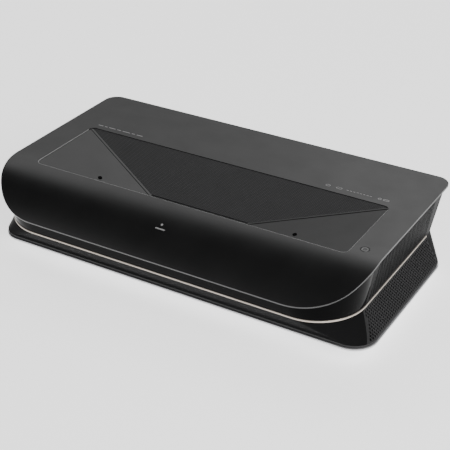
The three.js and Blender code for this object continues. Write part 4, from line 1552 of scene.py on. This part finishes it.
@dataclass
class ScrewFoot:
    """One foot: a knurled wheel with its stud, and the rubber pad that it stands on."""

    corner: str
    ribs: int = 28
    rib_depth: float = 0.7

    def build(self) -> None:
        """Models the wheel and the pad."""
        self.build_screw()
        self.build_pad()

    def build_screw(self) -> None:
        """The knurled wheel and the stud over it."""
        node = f"foot_screw_{self.corner}"
        bottom, top = low(node), high(node)
        centre = middle(node)
        radius = top.y - centre.y
        height = top.z - bottom.z
        bm = bmesh.new()
        profile = (
            (0.0, 2.6), (5.4, 2.6), (5.4, 0.0), (radius - 1.0, 0.0), (radius, 1.0), (radius, 8.0),
            (radius - 1.0, 9.0), (6.0, 9.0), (4.0, 10.0), (4.0, height - 0.8), (3.2, height), (0.0, height),
        )
        spin_profile(bm, profile, self.ribs * 2)
        for vert in bm.verts:
            reach = vert.co.xy.length
            turn = math.atan2(vert.co.y, vert.co.x) / (2 * math.pi) * self.ribs * 2
            if reach > radius - 0.5 and round(turn) % 2:
                vert.co.xy *= (reach - self.rib_depth) / reach
        bmesh.ops.translate(bm, vec=(centre.x, centre.y, bottom.z), verts=bm.verts)
        name = f"foot_wheel_{self.corner}"
        finish_piece(name, bm, INNER_PLASTIC, "inner_plastic", [node], body=node, sharp=25)

    def build_pad(self) -> None:
        """The rubber pad, with a rounded rim and a shallow groove under it."""
        node = f"foot_pad_{self.corner}"
        bottom, top = low(node), high(node)
        centre = middle(node)
        radius = (top.x - bottom.x) / 2
        bm = bmesh.new()
        profile = (
            (0.0, 0.0), (radius - 4.0, 0.0), (radius - 3.6, 0.5), (radius - 2.8, 0.5), (radius - 2.4, 0.0),
            (radius - 0.8, 0.0), (radius - 0.2, 0.3), (radius, 0.9), (radius, 3.2), (radius - 0.8, 4.0),
            (4.9, 4.0), (4.9, top.z - bottom.z), (0.0, top.z - bottom.z),
        )
        spin_profile(bm, profile, 36)
        bmesh.ops.translate(bm, vec=(centre.x, centre.y, bottom.z), verts=bm.verts)
        finish_piece(f"foot_rubber_{self.corner}", bm, SOFT_RUBBER, "rubber", [node], body=node, sharp=30)


# ---- The stage ----------------------------------------------------------------------------------------


@dataclass(frozen=True)
class SoftBox:
    """One rectangular studio light."""

    name: str
    place: tuple[float, float, float]
    aim: tuple[float, float, float]
    size: tuple[float, float]
    power: float

    def build(self) -> None:
        """Hangs the light and turns it to its aim."""
        data = bpy.data.lights.new(self.name, "AREA")
        data.shape = "RECTANGLE"
        data.size, data.size_y = self.size
        data.energy = self.power
        lamp = bpy.data.objects.new(self.name, data)
        lamp.location = self.place
        direction = Vector(self.aim) - Vector(self.place)
        lamp.rotation_euler = direction.to_track_quat("-Z", "Y").to_euler()
        bpy.context.scene.collection.objects.link(lamp)


@dataclass
class Studio:
    """The pale floor, the lights and the camera."""

    floor_size: float = 12.0
    floor_colour: Colour = (0.90, 0.90, 0.90)
    floor_glow: float = 1.5
    world_strength: float = 0.08
    camera_place: tuple[float, float, float] = (0.7371, -1.2131, 0.8852)
    camera_turn: tuple[float, float] = (30.616, 29.999)
    lens: float = 91.1
    shift: float = -0.0047

    def build(self) -> None:
        """Sets the floor, lights the object and points the camera."""
        self.build_floor()
        self.build_world()
        for light in (
            SoftBox("rear_left", (-1.40, 1.80, 2.23), (0.0, 0.0, 0.1), (4.2, 2.6), 33.0),
            SoftBox("rear_right", (-0.21, 2.36, 2.09), (0.0, 0.0, 0.1), (1.6, 1.6), 6.0),
            SoftBox("high_left", (-1.41, 1.41, 2.47), (0.0, 0.0, 0.1), (3.0, 0.7), 5.0),
            SoftBox("key_right", (2.10, -1.00, 1.80), (0.0, 0.0, 0.0), (2.0, 2.0), 80.0),
        ):
            light.build()
        self.build_camera()

    def build_floor(self) -> None:
        """A plain pale floor."""
        bm = bmesh.new()
        bmesh.ops.create_grid(bm, x_segments=1, y_segments=1, size=self.floor_size / 2)
        mesh = bpy.data.meshes.new("floor")
        bm.to_mesh(mesh)
        bm.free()
        floor = bpy.data.objects.new("floor", mesh)
        tree = Tree("floor_paper")
        colour = (*self.floor_colour, 1.0)
        tree.set(Base_Color=colour, Roughness=0.9, Specular_IOR_Level=0.1)
        tree.set(Emission_Color=colour, Emission_Strength=self.floor_glow)
        mesh.materials.append(tree.material)
        bpy.context.scene.collection.objects.link(floor)

    def build_world(self) -> None:
        """An even pale surround."""
        world = bpy.data.worlds.new("surround")
        world.use_nodes = True
        background = world.node_tree.nodes["Background"]
        background.inputs["Color"].default_value = (1.0, 1.0, 1.0, 1.0)
        background.inputs["Strength"].default_value = self.world_strength
        bpy.context.scene.world = world

    def build_camera(self) -> None:
        """The camera, level from side to side, at the object's showing angle."""
        data = bpy.data.cameras.new("camera")
        data.lens = self.lens
        data.sensor_width = 36.0
        data.shift_y = self.shift
        data.clip_end = 50.0
        camera = bpy.data.objects.new("camera", data)
        camera.location = self.camera_place
        azimuth, elevation = (math.radians(angle) for angle in self.camera_turn)
        camera.rotation_euler = (math.pi / 2 - elevation, 0.0, azimuth)
        bpy.context.scene.collection.objects.link(camera)
        bpy.context.scene.camera = camera


# ---- Everything in order ------------------------------------------------------------------------------


def dress_frame_nodes() -> None:
    """Gives every frame node that stays visible the finish of its slot."""
    slots = {row["node"]: row["material_slot"] for row in frame["record"]["subparts"]}
    for name, node in frame["nodes"].items():
        if node.hide_render:
            continue
        node.data.materials.clear()
        node.data.materials.append(SLOT_FINISHES[slots[name]].material())
        log.info("%s: kept from the frame", name)


def main() -> None:
    """Builds the stage and then every sub-assembly."""
    logging.basicConfig(level=logging.INFO, format="%(name)s %(message)s")
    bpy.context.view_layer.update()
    Studio().build()
    TopCover().build()
    Recess().build()
    PowerButton().build()
    PrintedMarks().build()
    Fascias().build()
    for side in (-1, 1):
        Grille(Wall.LOWER, side).build()
        Grille(
            Wall.UPPER, side, pitch=4.4, row_gap=3.2, radius=1.2, front_plain=6.0, front_lean=14.0).build()
    TrimStrip().build()
    RearShell().build()
    PortPlate().build()
    for layer in BASE_LAYERS:
        layer.build()
    for corner in FEET:
        ScrewFoot(corner).build()
    dress_frame_nodes()


if __name__ == "__main__":
    main()
